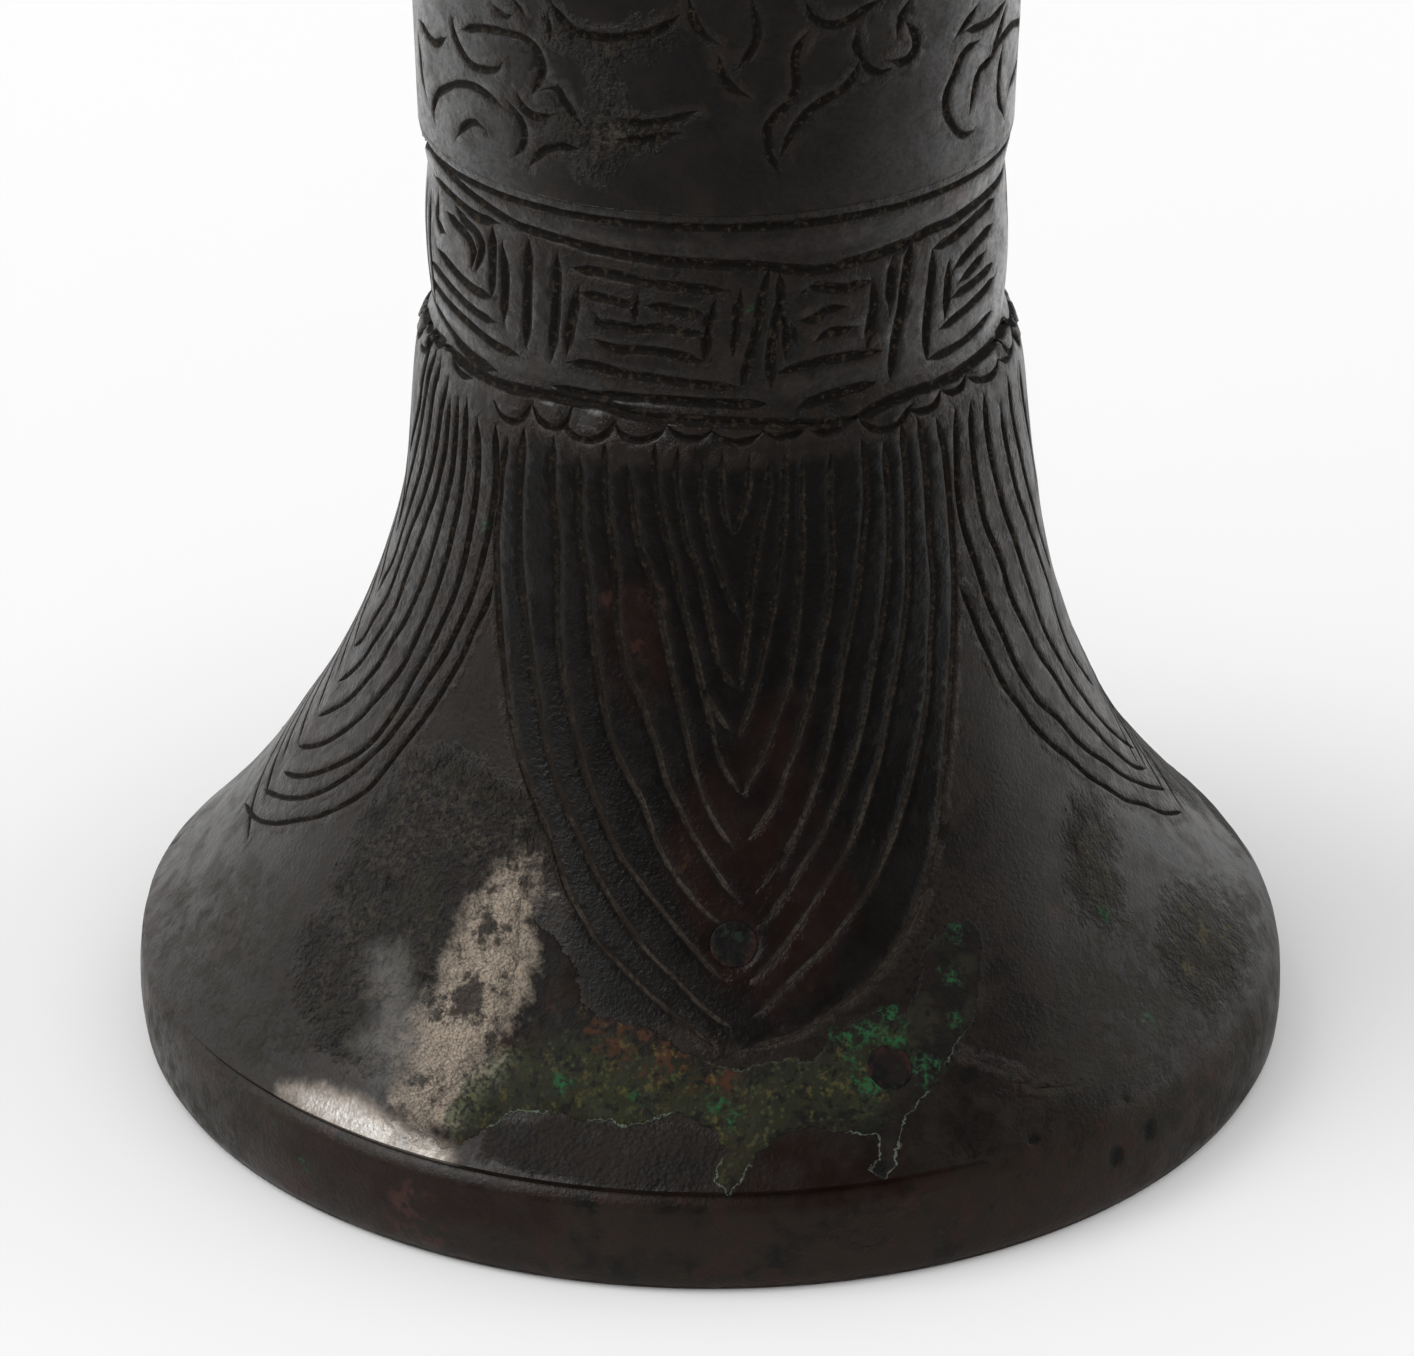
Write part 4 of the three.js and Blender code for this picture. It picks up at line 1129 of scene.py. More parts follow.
def spot_depth(places, spots, outline):
    """Millimetres inside the nearest spot of a list."""
    centres = from_picture([spot[:2] for spot in spots])
    climbs = outline.climb_at(centres[:, 1])
    radius = outline.radius_at(outline.height_at(places[:, 1]))
    best = np.full(len(places), -FAR_OFF)
    for (bearing, _), climb, (_, _, size) in zip(centres, climbs, spots):
        for turn in (0.0, math.pi):
            across = (places[:, 0] - bearing - turn + math.pi) % TURN - math.pi
            best = np.maximum(best, size - np.hypot(across, places[:, 1] - climb) * radius)
    return best


# %% [markdown]
# The relief is pressed into the skin last. Every vertex of the outside moves
# along the direction square to the surface: down into the grooves and
# sockets, up where crust has grown, and a little in and out everywhere,
# because no casting of this age is smooth.

# %% Press the relief
RAGGED_CUT = 0.22
RAGGED_CUT_SIZE = 0.9
SWAY = 0.13
SWAY_SIZE = 13.0
RIPPLE = 0.045
RIPPLE_SIZE = 3.6
CRUST_THICKNESS = {"green": 0.10, "grit": 0.03, "rough": 0.05, "grey": -0.05}
CRUST_GRAIN = {"green": 0.08, "grit": 0.08, "rough": 0.10, "grey": 0.03, "worn": 0.06}
CRUST_GRAIN_SIZE = 0.75
SPOT_DEPTH = {"emerald": -0.03, "pink": 0.02, "pit": 0.20}
SCALE_RISE = 0.24
SETTLED_HEIGHT = 2.5
CREASE_FADES = (-70.0, -52.0)
CREASE_RETURNS = (40.0, 70.0)
ROUND_FROM = (41.12, 5.2)
ROUND_TO = (38.62, 9.8)
MOUTH_MARGIN = 0.02
NOISE_STRIDE = (17.3, 5.1, 9.7)
ON_SKIN, NEAR_SKIN, END_MARGIN = 0.03, 0.4, 0.2
PATCH_SWAY, PATCH_SWAY_SIZE = 0.5, 1.4
CRUST_EDGE, SCALE_EDGE, SPOT_EDGE, SOCKET_EDGE = (-0.1, 0.35), (0.1, 0.4), (-0.3, 0.4), 0.06
ROUND_CURVE = 1.7
SMOOTH_UNDER = math.radians(50.0)


def noise_at(places, size, seed):
    """Smooth noise from about -1 to 1 at places in space."""
    shift = Vector([seed * stride for stride in NOISE_STRIDE])
    return np.array([noise.noise(Vector(p) / size + shift) for p in places])


def smooth_step(value, low, high):
    share = np.clip((value - low) / (high - low), 0.0, 1.0)
    return share * share * (3 - 2 * share)


def add_measure(mesh, name, values):
    layer = mesh.attributes.new(name, "FLOAT", "POINT")
    layer.data.foreach_set("value", values.astype(np.float32))


def soft_crease(skin, outline):
    """How far to fill the crease above the rim, where it has worn round on the right."""
    bearing = np.degrees(np.arctan2(skin[:, 1], skin[:, 0]))
    worn_round = smooth_step(bearing, *CREASE_FADES) * (1 - smooth_step(bearing, *CREASE_RETURNS))
    share = np.clip((skin[:, 2] - ROUND_FROM[1]) / (ROUND_TO[1] - ROUND_FROM[1]), 0.0, 1.0)
    rounded = ROUND_FROM[0] + (ROUND_TO[0] - ROUND_FROM[0]) * share**ROUND_CURVE
    beside = (skin[:, 2] > ROUND_FROM[1]) & (skin[:, 2] < ROUND_TO[1])
    return np.where(beside, (rounded - outline.radius_at(skin[:, 2])) * worn_round, 0.0)


def deepest_inside(flat, patches, outline):
    """Millimetres inside the patch of a list that each place is deepest in."""
    depth = np.full(len(flat), -PATCH_REACH)
    for patch in patches:
        depth = np.maximum(depth, depth_inside(flat, patch, outline))
    return depth


def kept_measure(depth):
    """A depth as the materials read it: PATCH_REACH on the edge, more inside, never below 0."""
    return np.clip(depth, -PATCH_REACH, PATCH_REACH) + PATCH_REACH


def press_relief(casting, engraving, plugs, patches, spots, scales, seed):
    """Move one casting's outer vertices and keep what the materials need to know."""
    mesh, outline = casting.data, engraving.outline
    place = np.empty(len(mesh.vertices) * 3, np.float32)
    mesh.vertices.foreach_get("co", place)
    place = place.reshape(-1, 3).astype(float) / MILLIMETRE
    height = place[:, 2]
    radius = np.hypot(place[:, 0], place[:, 1])
    low, high = outline.height[0], outline.height[-1]
    off_skin = np.abs(radius - outline.radius_at(height))
    outside = off_skin < ON_SKIN
    outside &= (height > low + END_MARGIN) & (height < high - END_MARGIN)
    skin = place[outside]
    bearing = np.arctan2(skin[:, 1], skin[:, 0])
    climb = outline.climb_at(skin[:, 2])
    flat = np.stack([bearing, climb], 1)
    distance, index = engraving.nearest(skin)
    ragged_cut = RAGGED_CUT * noise_at(skin, RAGGED_CUT_SIZE, seed + 5)
    share = np.clip(distance / (engraving.width[index] * (1 + ragged_cut)), 0.0, 1.0)
    groove = engraving.depth[index] * (1 + ragged_cut) * (0.5 + 0.5 * np.cos(np.pi * share))
    settled = smooth_step(skin[:, 2] - low, 0.0, SETTLED_HEIGHT)
    settled *= smooth_step(high - skin[:, 2], 0.0, SETTLED_HEIGHT)
    sway = SWAY * noise_at(skin, SWAY_SIZE, seed) + RIPPLE * noise_at(skin, RIPPLE_SIZE, seed + 1)
    lift = sway * settled - groove
    if outline is foot_outline:
        lift += soft_crease(skin, outline)
    measures = {"groove": groove, "line_gap": np.minimum(distance, PATCH_REACH)}
    grain = noise_at(skin, CRUST_GRAIN_SIZE, seed + 2)
    grain = grain + 0.5 * noise_at(skin, CRUST_GRAIN_SIZE / 2.1, seed + 3)
    ragged = PATCH_SWAY * noise_at(skin, PATCH_SWAY_SIZE, seed + 4)
    for kind, outlines in patches.items():
        depth = deepest_inside(flat, outlines, outline)
        measures[kind] = kept_measure(depth)
        crusted = smooth_step(depth + ragged, *CRUST_EDGE)
        lift += crusted * (CRUST_THICKNESS.get(kind, 0.0) + CRUST_GRAIN.get(kind, 0.0) * grain) * settled
    lift += SCALE_RISE * smooth_step(deepest_inside(flat, scales, outline), *SCALE_EDGE)
    for kind, places in spots.items():
        depth = spot_depth(flat, places, outline)
        measures[kind] = kept_measure(depth)
        lift -= SPOT_DEPTH[kind] * smooth_step(depth, *SPOT_EDGE)
    radius = radius[outside]
    for plug_height, degrees in plugs:
        across = (bearing - math.radians(degrees) + math.pi) % TURN - math.pi
        gap = np.hypot(across, climb - outline.climb_at(plug_height)) * radius
        lift -= SOCKET_DEPTH * (1 - smooth_step(gap, SOCKET_RADIUS - SOCKET_EDGE, SOCKET_LIP))
    if outline is neck_outline:
        near_mouth = high - skin[:, 2] < SETTLED_HEIGHT
        lift = np.where(near_mouth, np.minimum(lift, -MOUTH_MARGIN), lift)
    out, up = outline.normal_at(skin[:, 2])
    moved = radius + out * lift
    skin[:, 0], skin[:, 1] = moved * np.cos(bearing), moved * np.sin(bearing)
    skin[:, 2] += up * lift
    place[outside] = skin
    place[:, 0] += lean_at(place[:, 2])
    mesh.vertices.foreach_set("co", (place * MILLIMETRE).astype(np.float32).ravel())
    for name, values in measures.items():
        whole = np.zeros(len(place))
        whole[outside] = values
        add_measure(mesh, name, whole)
    add_measure(mesh, "outside", (off_skin < NEAR_SKIN).astype(float))
    deselect_all()
    casting.select_set(True)
    bpy.context.view_layer.objects.active = casting
    bpy.ops.object.shade_smooth_by_angle(angle=SMOOTH_UNDER)
    print(casting.name, "moved", round(lift.min(), 2), "to", round(lift.max(), 2), "mm")


def scale_of(arc, ring_height):
    """The raised scale between a scallop's arc and the ring that it hangs from."""
    arc = arc[np.argsort(arc[:, 0])]
    ring = np.stack([arc[::-1, 0], ring_height(arc[::-1, 0])], 1)
    return np.vstack([arc, ring])


def climbing(points, outline):
    """(bearing, height) points as (bearing, climb)."""
    return np.stack([points[:, 0], outline.climb_at(points[:, 1])], 1)


foot_scales = [climbing(scale_of(arc, fret_bottom), foot_outline) for arc in scallops]
neck_scales = [climbing(upside_down(scale_of(arc, fret_bottom)), neck_outline) for arc in scallops]
press_relief(foot, foot_engraving, FOOT_PLUGS, foot_patches, FOOT_SPOTS, foot_scales, 1)
press_relief(knop, knop_engraving, [], knop_patches, {}, [], 11)
press_relief(neck, neck_engraving, NECK_PLUGS, {}, {}, neck_scales, 21)

# %% [markdown]
# A plug is a short round bar of bronze, driven in and filed almost flush. It
# begins as a cylinder primitive. Its face is inset and bevelled, and the bar
# is then turned to stand square to the wall at its own place.

# %% Make the plugs
PLUG_SIDES = 40
PLUG_LENGTH = 2.9
PLUG_PROUD = -0.02
PLUG_EDGE = 0.12
PLUG_EDGE_STEPS = 3
PLUG_LUMPS, PLUG_LUMP_SIZE = 0.09, 0.9
PLUG_RINGS, PLUG_RING_WIDTH = 4, 0.26
FACES_UP = 0.9
FLAT_ON_TOP = 0.99
PLUG_SMOOTH_UNDER = math.radians(40.0)


def make_plug(name, outline, height, degrees):
    deselect_all()
    bpy.ops.mesh.primitive_cylinder_add(
        vertices=PLUG_SIDES, radius=PLUG_RADIUS * MILLIMETRE, depth=PLUG_LENGTH * MILLIMETRE)
    plug = bpy.context.object
    plug.name = name
    select_faces(plug, lambda face: face.normal.z > FACES_UP)
    bpy.ops.mesh.bevel(offset=PLUG_EDGE * MILLIMETRE, segments=PLUG_EDGE_STEPS, affect="EDGES")
    select_faces(plug, lambda face: face.normal.z > FLAT_ON_TOP)
    for _ in range(PLUG_RINGS):
        bpy.ops.mesh.inset(thickness=PLUG_RING_WIDTH * MILLIMETRE)
    bpy.ops.object.mode_set(mode="OBJECT")
    top = max(v.co.z for v in plug.data.vertices)
    for vertex in plug.data.vertices:
        if vertex.co.z > top - TINY:
            spot = Vector(vertex.co) / MILLIMETRE
            lump = noise.noise(spot / PLUG_LUMP_SIZE + Vector((height, 0, 0)))
            vertex.co.z += PLUG_LUMPS * lump * MILLIMETRE
    spread = [math.hypot(v.co.x, v.co.y) / (PLUG_RADIUS * MILLIMETRE) for v in plug.data.vertices]
    add_measure(plug.data, "from_middle", np.array(spread))
    out, up = outline.normal_at(np.array(height))
    radius = outline.radius_at(height)
    bearing = math.radians(degrees)
    square = Vector((float(out) * math.cos(bearing), float(out) * math.sin(bearing), float(up)))
    seat = Vector((radius * math.cos(bearing) + lean_at(height), radius * math.sin(bearing), height))
    middle = seat + square * (PLUG_PROUD - PLUG_LENGTH / 2)
    plug.rotation_euler = square.to_track_quat("Z", "Y").to_euler()
    plug.location = middle * MILLIMETRE
    bpy.ops.object.transform_apply(location=True, rotation=True, scale=True)
    bpy.ops.object.shade_smooth_by_angle(angle=PLUG_SMOOTH_UNDER)
    return plug


foot_plugs = [make_plug(f"foot_plug_{n + 1}", foot_outline, *place) for n, place in enumerate(FOOT_PLUGS)]
neck_plugs = [make_plug(f"neck_plug_{n + 1}", neck_outline, *place) for n, place in enumerate(NECK_PLUGS)]
print(len(foot_plugs) + len(neck_plugs), "plugs")

# %% [markdown]
# Inside the knop a bronze disc closes the vessel, and a fillet of solder
# seals it. The disc is a cylinder with a bevelled edge and a few inset rings
# that are pushed down to dish it. The fillet is a small section spun round
# the axis, as the castings were, and so are the two sleeves of solder that
# fill the laps between the knop and the castings below and above it.

# %% Make the vessel's floor and its solder
DISC_RADIUS = 17.0
DISC_BOTTOM, DISC_TOP = 74.6, 76.6
DISC_DISH = 0.12
DISC_EDGE, DISC_EDGE_STEPS = 0.3, 2
DISC_RINGS, DISC_RING_WIDTH = 6, 2.4
DISC_SMOOTH_UNDER = math.radians(35.0)
SIDES_INSIDE = 96
FILLET_BOTTOM = 76.9
FILLET = [
    (DISC_RADIUS, FILLET_BOTTOM), (DISC_RADIUS, 78.4), (16.7, 77.9), (16.35, 77.45),
    (15.5, FILLET_BOTTOM)]
SLEEVE_INSIDE, SLEEVE_OUTSIDE = 16.12, 17.28
SLEEVES = {"foot_joint_sleeve": (69.0, 73.8), "neck_joint_sleeve": (107.8, 112.6)}


def make_disc():
    deselect_all()
    middle = (DISC_BOTTOM + DISC_TOP) / 2 * MILLIMETRE
    thickness = (DISC_TOP - DISC_BOTTOM) * MILLIMETRE
    bpy.ops.mesh.primitive_cylinder_add(
        vertices=SIDES_INSIDE, radius=DISC_RADIUS * MILLIMETRE, depth=thickness)
    disc = bpy.context.object
    disc.name = "vessel_disc"
    select_faces(disc, lambda face: face.normal.z > FLAT_ON_TOP)
    bpy.ops.mesh.bevel(offset=DISC_EDGE * MILLIMETRE, segments=DISC_EDGE_STEPS, affect="EDGES")
    select_faces(disc, lambda face: face.normal.z > FLAT_ON_TOP)
    for _ in range(DISC_RINGS):
        bpy.ops.mesh.inset(thickness=DISC_RING_WIDTH * MILLIMETRE)
        bpy.ops.transform.translate(value=(0.0, 0.0, -DISC_DISH / DISC_RINGS * MILLIMETRE))
    bpy.ops.object.mode_set(mode="OBJECT")
    disc.location = (0.0, 0.0, middle)
    bpy.ops.object.transform_apply(location=True, rotation=True, scale=True)
    bpy.ops.object.shade_smooth_by_angle(angle=DISC_SMOOTH_UNDER)
    return disc


def turn_solder(name, section):
    solder = turn_blank(name, section, SIDES_INSIDE)
    bpy.ops.object.shade_smooth_by_angle(angle=SMOOTH_UNDER)
    return solder


disc = make_disc()
fillet = turn_solder("floor_fillet", FILLET)
sleeves = []
for name, (low, high) in SLEEVES.items():
    sleeves.append(turn_solder(name, [
        (SLEEVE_INSIDE, low), (SLEEVE_OUTSIDE, low), (SLEEVE_OUTSIDE, high), (SLEEVE_INSIDE, high)]))
foot_sleeve, neck_sleeve = sleeves
for piece in (disc, fillet, foot_sleeve, neck_sleeve):
    for vertex in piece.data.vertices:
        vertex.co.x += float(lean_at(vertex.co.z / MILLIMETRE)) * MILLIMETRE
    print(piece.name, len(piece.data.polygons), "faces")

# %% [markdown]
# A finish is a tree of shader nodes. To keep it readable, a socket is wrapped
# in a small class that understands plus, minus and times, so a mask is
# written as a sum and the Math nodes come by themselves.

# %% A small language for finishes
class Signal:
    """A socket of a finish, used as a number in sums."""

    def __init__(self, finish, socket):
        self.finish, self.socket = finish, socket

    def maths(self, operation, *values):
        return self.finish.node("Math", {"operation": operation}, values)

    def __add__(self, other):
        return self.maths("ADD", self, other)

    def __sub__(self, other):
        return self.maths("SUBTRACT", self, other)

    def __rsub__(self, other):
        return self.maths("SUBTRACT", other, self)

    def __mul__(self, other):
        return self.maths("MULTIPLY", self, other)

    __radd__ = __add__
    __rmul__ = __mul__

    def most(self, other):
        return self.maths("MAXIMUM", self, other)

    def size(self):
        return self.maths("ABSOLUTE", self)

    def rise(self, low, high):
        """0 below low, 1 above high, and smooth between them."""
        settings = {"interpolation_type": "SMOOTHSTEP"}
        return self.finish.node("MapRange", settings, {"Value": self, "From Min": low, "From Max": high})


class Finish:
    """The nodes of a material, or of the world, made one by one."""

    def __init__(self, owner, coordinates="Object"):
        self.owner = owner
        owner.use_nodes = True
        self.tree = owner.node_tree
        self.tree.nodes.clear()
        self.here = self.node("TexCoord", output=coordinates)

    def node(self, kind, settings=None, inputs=(), output=0):
        made = self.tree.nodes.new("ShaderNode" + kind)
        for name, value in (settings or {}).items():
            setattr(made, name, value)
        pairs = inputs.items() if isinstance(inputs, dict) else enumerate(inputs)
        for key, value in pairs:
            if isinstance(value, Signal):
                self.tree.links.new(value.socket, made.inputs[key])
            else:
                made.inputs[key].default_value = value
        return Signal(self, made.outputs[output] if made.outputs else None)

    def cloud(self, size, seed, detail=3.0, roughness=0.55):
        """Noise whose blotches are about a size in millimetres, from 0 to 1."""
        inputs = {"Vector": self.here, "W": seed, "Scale": 1 / (size * MILLIMETRE), "Detail": detail,
                  "Roughness": roughness}
        return self.node("TexNoise", {"noise_dimensions": "4D"}, inputs)

    def grains(self, size, seed):
        """Distance from the middle of small cells, from 0 to about 1."""
        inputs = {"Vector": self.here, "W": seed, "Scale": 1 / (size * MILLIMETRE)}
        return self.node("TexVoronoi", {"voronoi_dimensions": "4D"}, inputs, "Distance")

    def measure(self, name):
        return self.node("Attribute", {"attribute_name": name}, output="Fac")

    def axis(self, letter):
        """How far along X, Y or Z the point lies, in metres."""
        return self.node("SeparateXYZ", inputs=[self.here], output=letter)

    def seen_by(self, *kinds):
        """1 for rays of these kinds, such as Camera or Glossy."""
        seen = self.node("LightPath", output=f"Is {kinds[0]} Ray")
        for kind in kinds[1:]:
            seen = seen.most(self.node("LightPath", output=f"Is {kind} Ray"))
        return seen

    def blend(self, mask, under, over):
        """One colour over another, as far as a mask says."""
        return self.node("Mix", {"data_type": "RGBA"}, {0: mask, 6: under, 7: over}, 2)

    def mix_shader(self, mask, under, over):
        return self.node("MixShader", {}, {0: mask, 1: under, 2: over})

    def shade(self, colour, roughness, height, **others):
        bump = self.node("Bump", {}, {"Strength": 1.0, "Distance": MILLIMETRE, "Height": height})
        inputs = {"Base Color": colour, "Roughness": roughness, "Normal": bump}
        inputs |= {name.replace("_", " "): value for name, value in others.items()}
        self.node("OutputMaterial", inputs=[self.node("BsdfPrincipled", {}, inputs)])
        return self.owner


def colour(red, green, blue):
    return (red, green, blue, 1.0)


def wear(piece, material):
    piece.data.materials.clear()
    piece.data.materials.append(material)


# %% [markdown]
# The bronze is nearly black: a thin brown-black patina with a satin gloss
# where hands have rubbed it, on the knop and the collar above all, and dull
# where grime lies on it. A coat over the patina carries that gloss. The skin
# is redder where copper oxide shows, and on the left shoulder it is worn to
# the metal, which is painted pale where the highlights fall there: part wear,
# part painted highlight and painted sheen. The dust in the front leaf's lines
# is paler than the skin.

# %% Colours of the patina, the crusts and the wear
PATINA_BLACK = colour(0.0030, 0.0024, 0.0021)
PATINA_DEEP = colour(0.0054, 0.0040, 0.0034)
PATINA_DARK = colour(0.0105, 0.0072, 0.0052)
PATINA_BROWN = colour(0.0195, 0.0120, 0.0078)
PATINA_WARM = colour(0.0160, 0.0120, 0.0085)
OXIDE_RED = colour(0.0130, 0.0042, 0.0028)
OXIDE_ORANGE = colour(0.0420, 0.0150, 0.0090)
GROOVE_DUST = colour(0.0620, 0.0510, 0.0400)
GROOVE_DIRT = colour(0.0060, 0.0042, 0.0030)
GROOVE_GRIT = colour(0.0320, 0.0220, 0.0130)
CRUST_BROWN = colour(0.0105, 0.0058, 0.0034)
CRUST_OLIVE = colour(0.0200, 0.0185, 0.0078)
CRUST_GREEN = colour(0.0340, 0.0450, 0.0130)
CRUST_YELLOW = colour(0.0700, 0.0560, 0.0130)
CRUST_ORANGE = colour(0.0480, 0.0170, 0.0050)
CRUST_SAGE = colour(0.1150, 0.1250, 0.0750)
CRUST_PALE = colour(0.1500, 0.1900, 0.1400)
MALACHITE = colour(0.0090, 0.0800, 0.0230)
GRIT_DARK = colour(0.0050, 0.0042, 0.0034)
GRIT_TAN = colour(0.0620, 0.0480, 0.0300)
# The next two colours are pale metal for the worn and rubbed shoulder, and also make its painted highlight
# and painted sheen.
WORN_TAN_AND_HIGHLIGHT = colour(0.5400, 0.4500, 0.3600)
POLISHED_GREY_HIGHLIGHT = colour(0.2900, 0.2780, 0.2620)
EARTH_PINK = colour(0.0600, 0.0210, 0.0170)
EARTH_DARK = colour(0.0260, 0.0110, 0.0085)
INSIDE_EARTH = colour(0.0200, 0.0155, 0.0100)
INSIDE_GREEN = colour(0.0230, 0.0330, 0.0200)
ON_FOOT = (0.056, 0.050)
ON_RIM, ON_DULL_RIM = (0.0078, 0.0066), (0.0075, 0.0065)
ABOVE_LEDGE, BELOW_JOINT = (0.052, 0.056), (0.071, 0.067)
RUBBED_FROM = (0.048, 0.056)
PALE_EDGE_BELOW = (0.0148, 0.0120)
HIGHLIGHT_ABOVE_CREASE = (0.0071, 0.0074)
AGED_FROM = (0.118, 0.135)
DUSTY_BELOW, DULL_LEAF_BELOW = (0.044, 0.024), (0.050, 0.030)
RIGHT_OF_MIDDLE = (-0.020, 0.010)
SKIN_IOR = 1.36
GLOSS_IOR = 1.60
GLOSS_ROUGHNESS = 0.27


# %% Masks that a casting's finish is built from
class CastingFinish(Finish):
    """A finish that also knows the measures of the relief."""

    def __init__(self, name):
        super().__init__(bpy.data.materials.new(name))
        self.middling = self.cloud(4.2, 2.0, 5.0)
        self.fine = self.cloud(1.1, 3.0, 4.0)
        self.speck = self.cloud(0.32, 4.0, 3.0)
        self.dots = self.cloud(0.17, 8.0, 2.0)
        self.grime = self.cloud(2.6, 1.0, 6.0, 0.65).rise(0.42, 0.66)
        self.fine_grime = self.cloud(0.7, 22.0, 4.0, 0.7).rise(0.45, 0.70)
        self.ragged = (self.fine - 0.5) * 1.5 + (self.speck - 0.5) * 0.6

    def near_line(self):
        """1 beside the cut lines, where grime gathers, and 0 away from them."""
        return (self.measure("line_gap") + (self.fine - 0.5) * 1.2).rise(1.0, 0.35)

    def inside(self, name, low=-0.06, high=0.10, rough_edge=1.0):
        """A mask that is 1 inside a measured patch, with a ragged edge."""
        return (self.measure(name) - PATCH_REACH + self.ragged * rough_edge).rise(low, high)


def patina(paint):
    """The plain skin: black, brown and, here and there, copper red."""
    foot_skin = paint.axis("Z").rise(*ON_FOOT)
    skin = paint.blend(paint.middling.rise(0.40, 0.65), PATINA_DEEP, PATINA_DARK)
    skin = paint.blend(paint.grime * (0.25 + 0.55 * foot_skin), skin, PATINA_BROWN)
    warm = paint.cloud(9.0, 27.0, 5.0).rise(0.42, 0.60) * paint.speck.rise(0.35, 0.55)
    skin = paint.blend(warm * foot_skin, skin, PATINA_WARM)
    collar = paint.axis("Z").rise(*ABOVE_LEDGE) * paint.axis("Z").rise(*BELOW_JOINT)
    brown = paint.cloud(1.9, 29.0, 6.0, 0.65).rise(0.44, 0.60)
    skin = paint.blend(brown * (collar * 0.8).most(paint.near_line()), skin, PATINA_BROWN)
    rim = paint.axis("Z").rise(*ON_RIM)
    skin = paint.blend(rim * paint.cloud(3.4, 34.0, 6.0, 0.62).rise(0.40, 0.54), skin, PATINA_BROWN)
    skin = paint.blend(rim * paint.cloud(2.6, 35.0, 6.0, 0.62).rise(0.54, 0.60) * 0.8, skin, EARTH_DARK)
    skin = paint.blend(rim * paint.cloud(0.8, 40.0, 6.0, 0.7).rise(0.56, 0.64) * 0.7, skin, CRUST_OLIVE)
    blush = paint.cloud(7.5, 5.0, 5.0).rise(0.57, 0.68)
    skin = paint.blend(blush * 0.8, skin, OXIDE_RED)
    # The front leaf's ground is painted near black: part dark patina, part painted shade where it faces the
    # dark room.
    leaf = paint.inside("leaf", -0.4, 0.8)
    skin = paint.blend(leaf * 0.85, skin, PATINA_BLACK)
    red = paint.inside("red", -1.2, 1.2, 1.6)
    skin = paint.blend(red * (0.35 + 0.65 * paint.cloud(3.0, 6.0, 5.0).rise(0.35, 0.60)), skin, OXIDE_RED)
    return paint.blend(red * paint.cloud(2.4, 23.0, 4.0).rise(0.62, 0.74) * 0.7, skin, CRUST_ORANGE)


def crust_colour(paint):
    """The thick crust: brown and olive, with green moss and ochre on it."""
    crust = paint.blend(paint.cloud(1.5, 12.0, 5.0).rise(0.40, 0.62), GRIT_DARK, CRUST_BROWN)
    crust = paint.blend(paint.cloud(2.1, 13.0, 5.0).rise(0.50, 0.66) * 0.7, crust, CRUST_OLIVE)
    crust = paint.blend(paint.cloud(3.2, 28.0, 3.0).rise(0.50, 0.62) * 0.7, crust, OXIDE_RED)
    moss = paint.inside("moss", -0.9, 0.9, 2.2)
    flecks = paint.grains(0.42, 5.0).rise(0.50, 0.22) * paint.fine.rise(0.36, 0.56)
    crust = paint.blend(moss * (0.30 + 0.70 * flecks), crust, CRUST_GREEN)
    sage = paint.inside("worn", -2.6, 0.2, 1.0) * moss * paint.speck.rise(0.40, 0.54)
    crust = paint.blend(sage, crust, CRUST_SAGE)
    ochre = paint.inside("ochre", -0.6, 0.6, 1.8)
    crust = paint.blend(ochre * paint.cloud(1.0, 14.0, 4.0).rise(0.48, 0.60), crust, CRUST_ORANGE)
    yellow = (moss * 0.8).most(ochre) * paint.cloud(1.2, 15.0, 4.0).rise(0.54, 0.64)
    crust = paint.blend(yellow * paint.speck.rise(0.42, 0.56), crust, CRUST_YELLOW)
    return paint.blend(paint.cloud(0.55, 25.0, 3.0).rise(0.52, 0.64) * 0.85, crust, GRIT_DARK)


def grit_colour(paint):
    """Sandy grime: dark, with tan and olive grains."""
    grains = paint.cloud(0.5, 37.0, 5.0, 0.7).rise(0.47, 0.58) * paint.middling.rise(0.34, 0.60)
    grit = paint.blend(grains * 0.8, GRIT_DARK, GRIT_TAN)
    grit = paint.blend(paint.cloud(3.0, 38.0, 6.0, 0.65).rise(0.52, 0.62) * 0.7, grit, OXIDE_RED)
    olive = paint.cloud(2.2, 10.0, 4.0).rise(0.50, 0.66) * paint.speck.rise(0.35, 0.5)
    return paint.blend(olive, grit, CRUST_OLIVE)


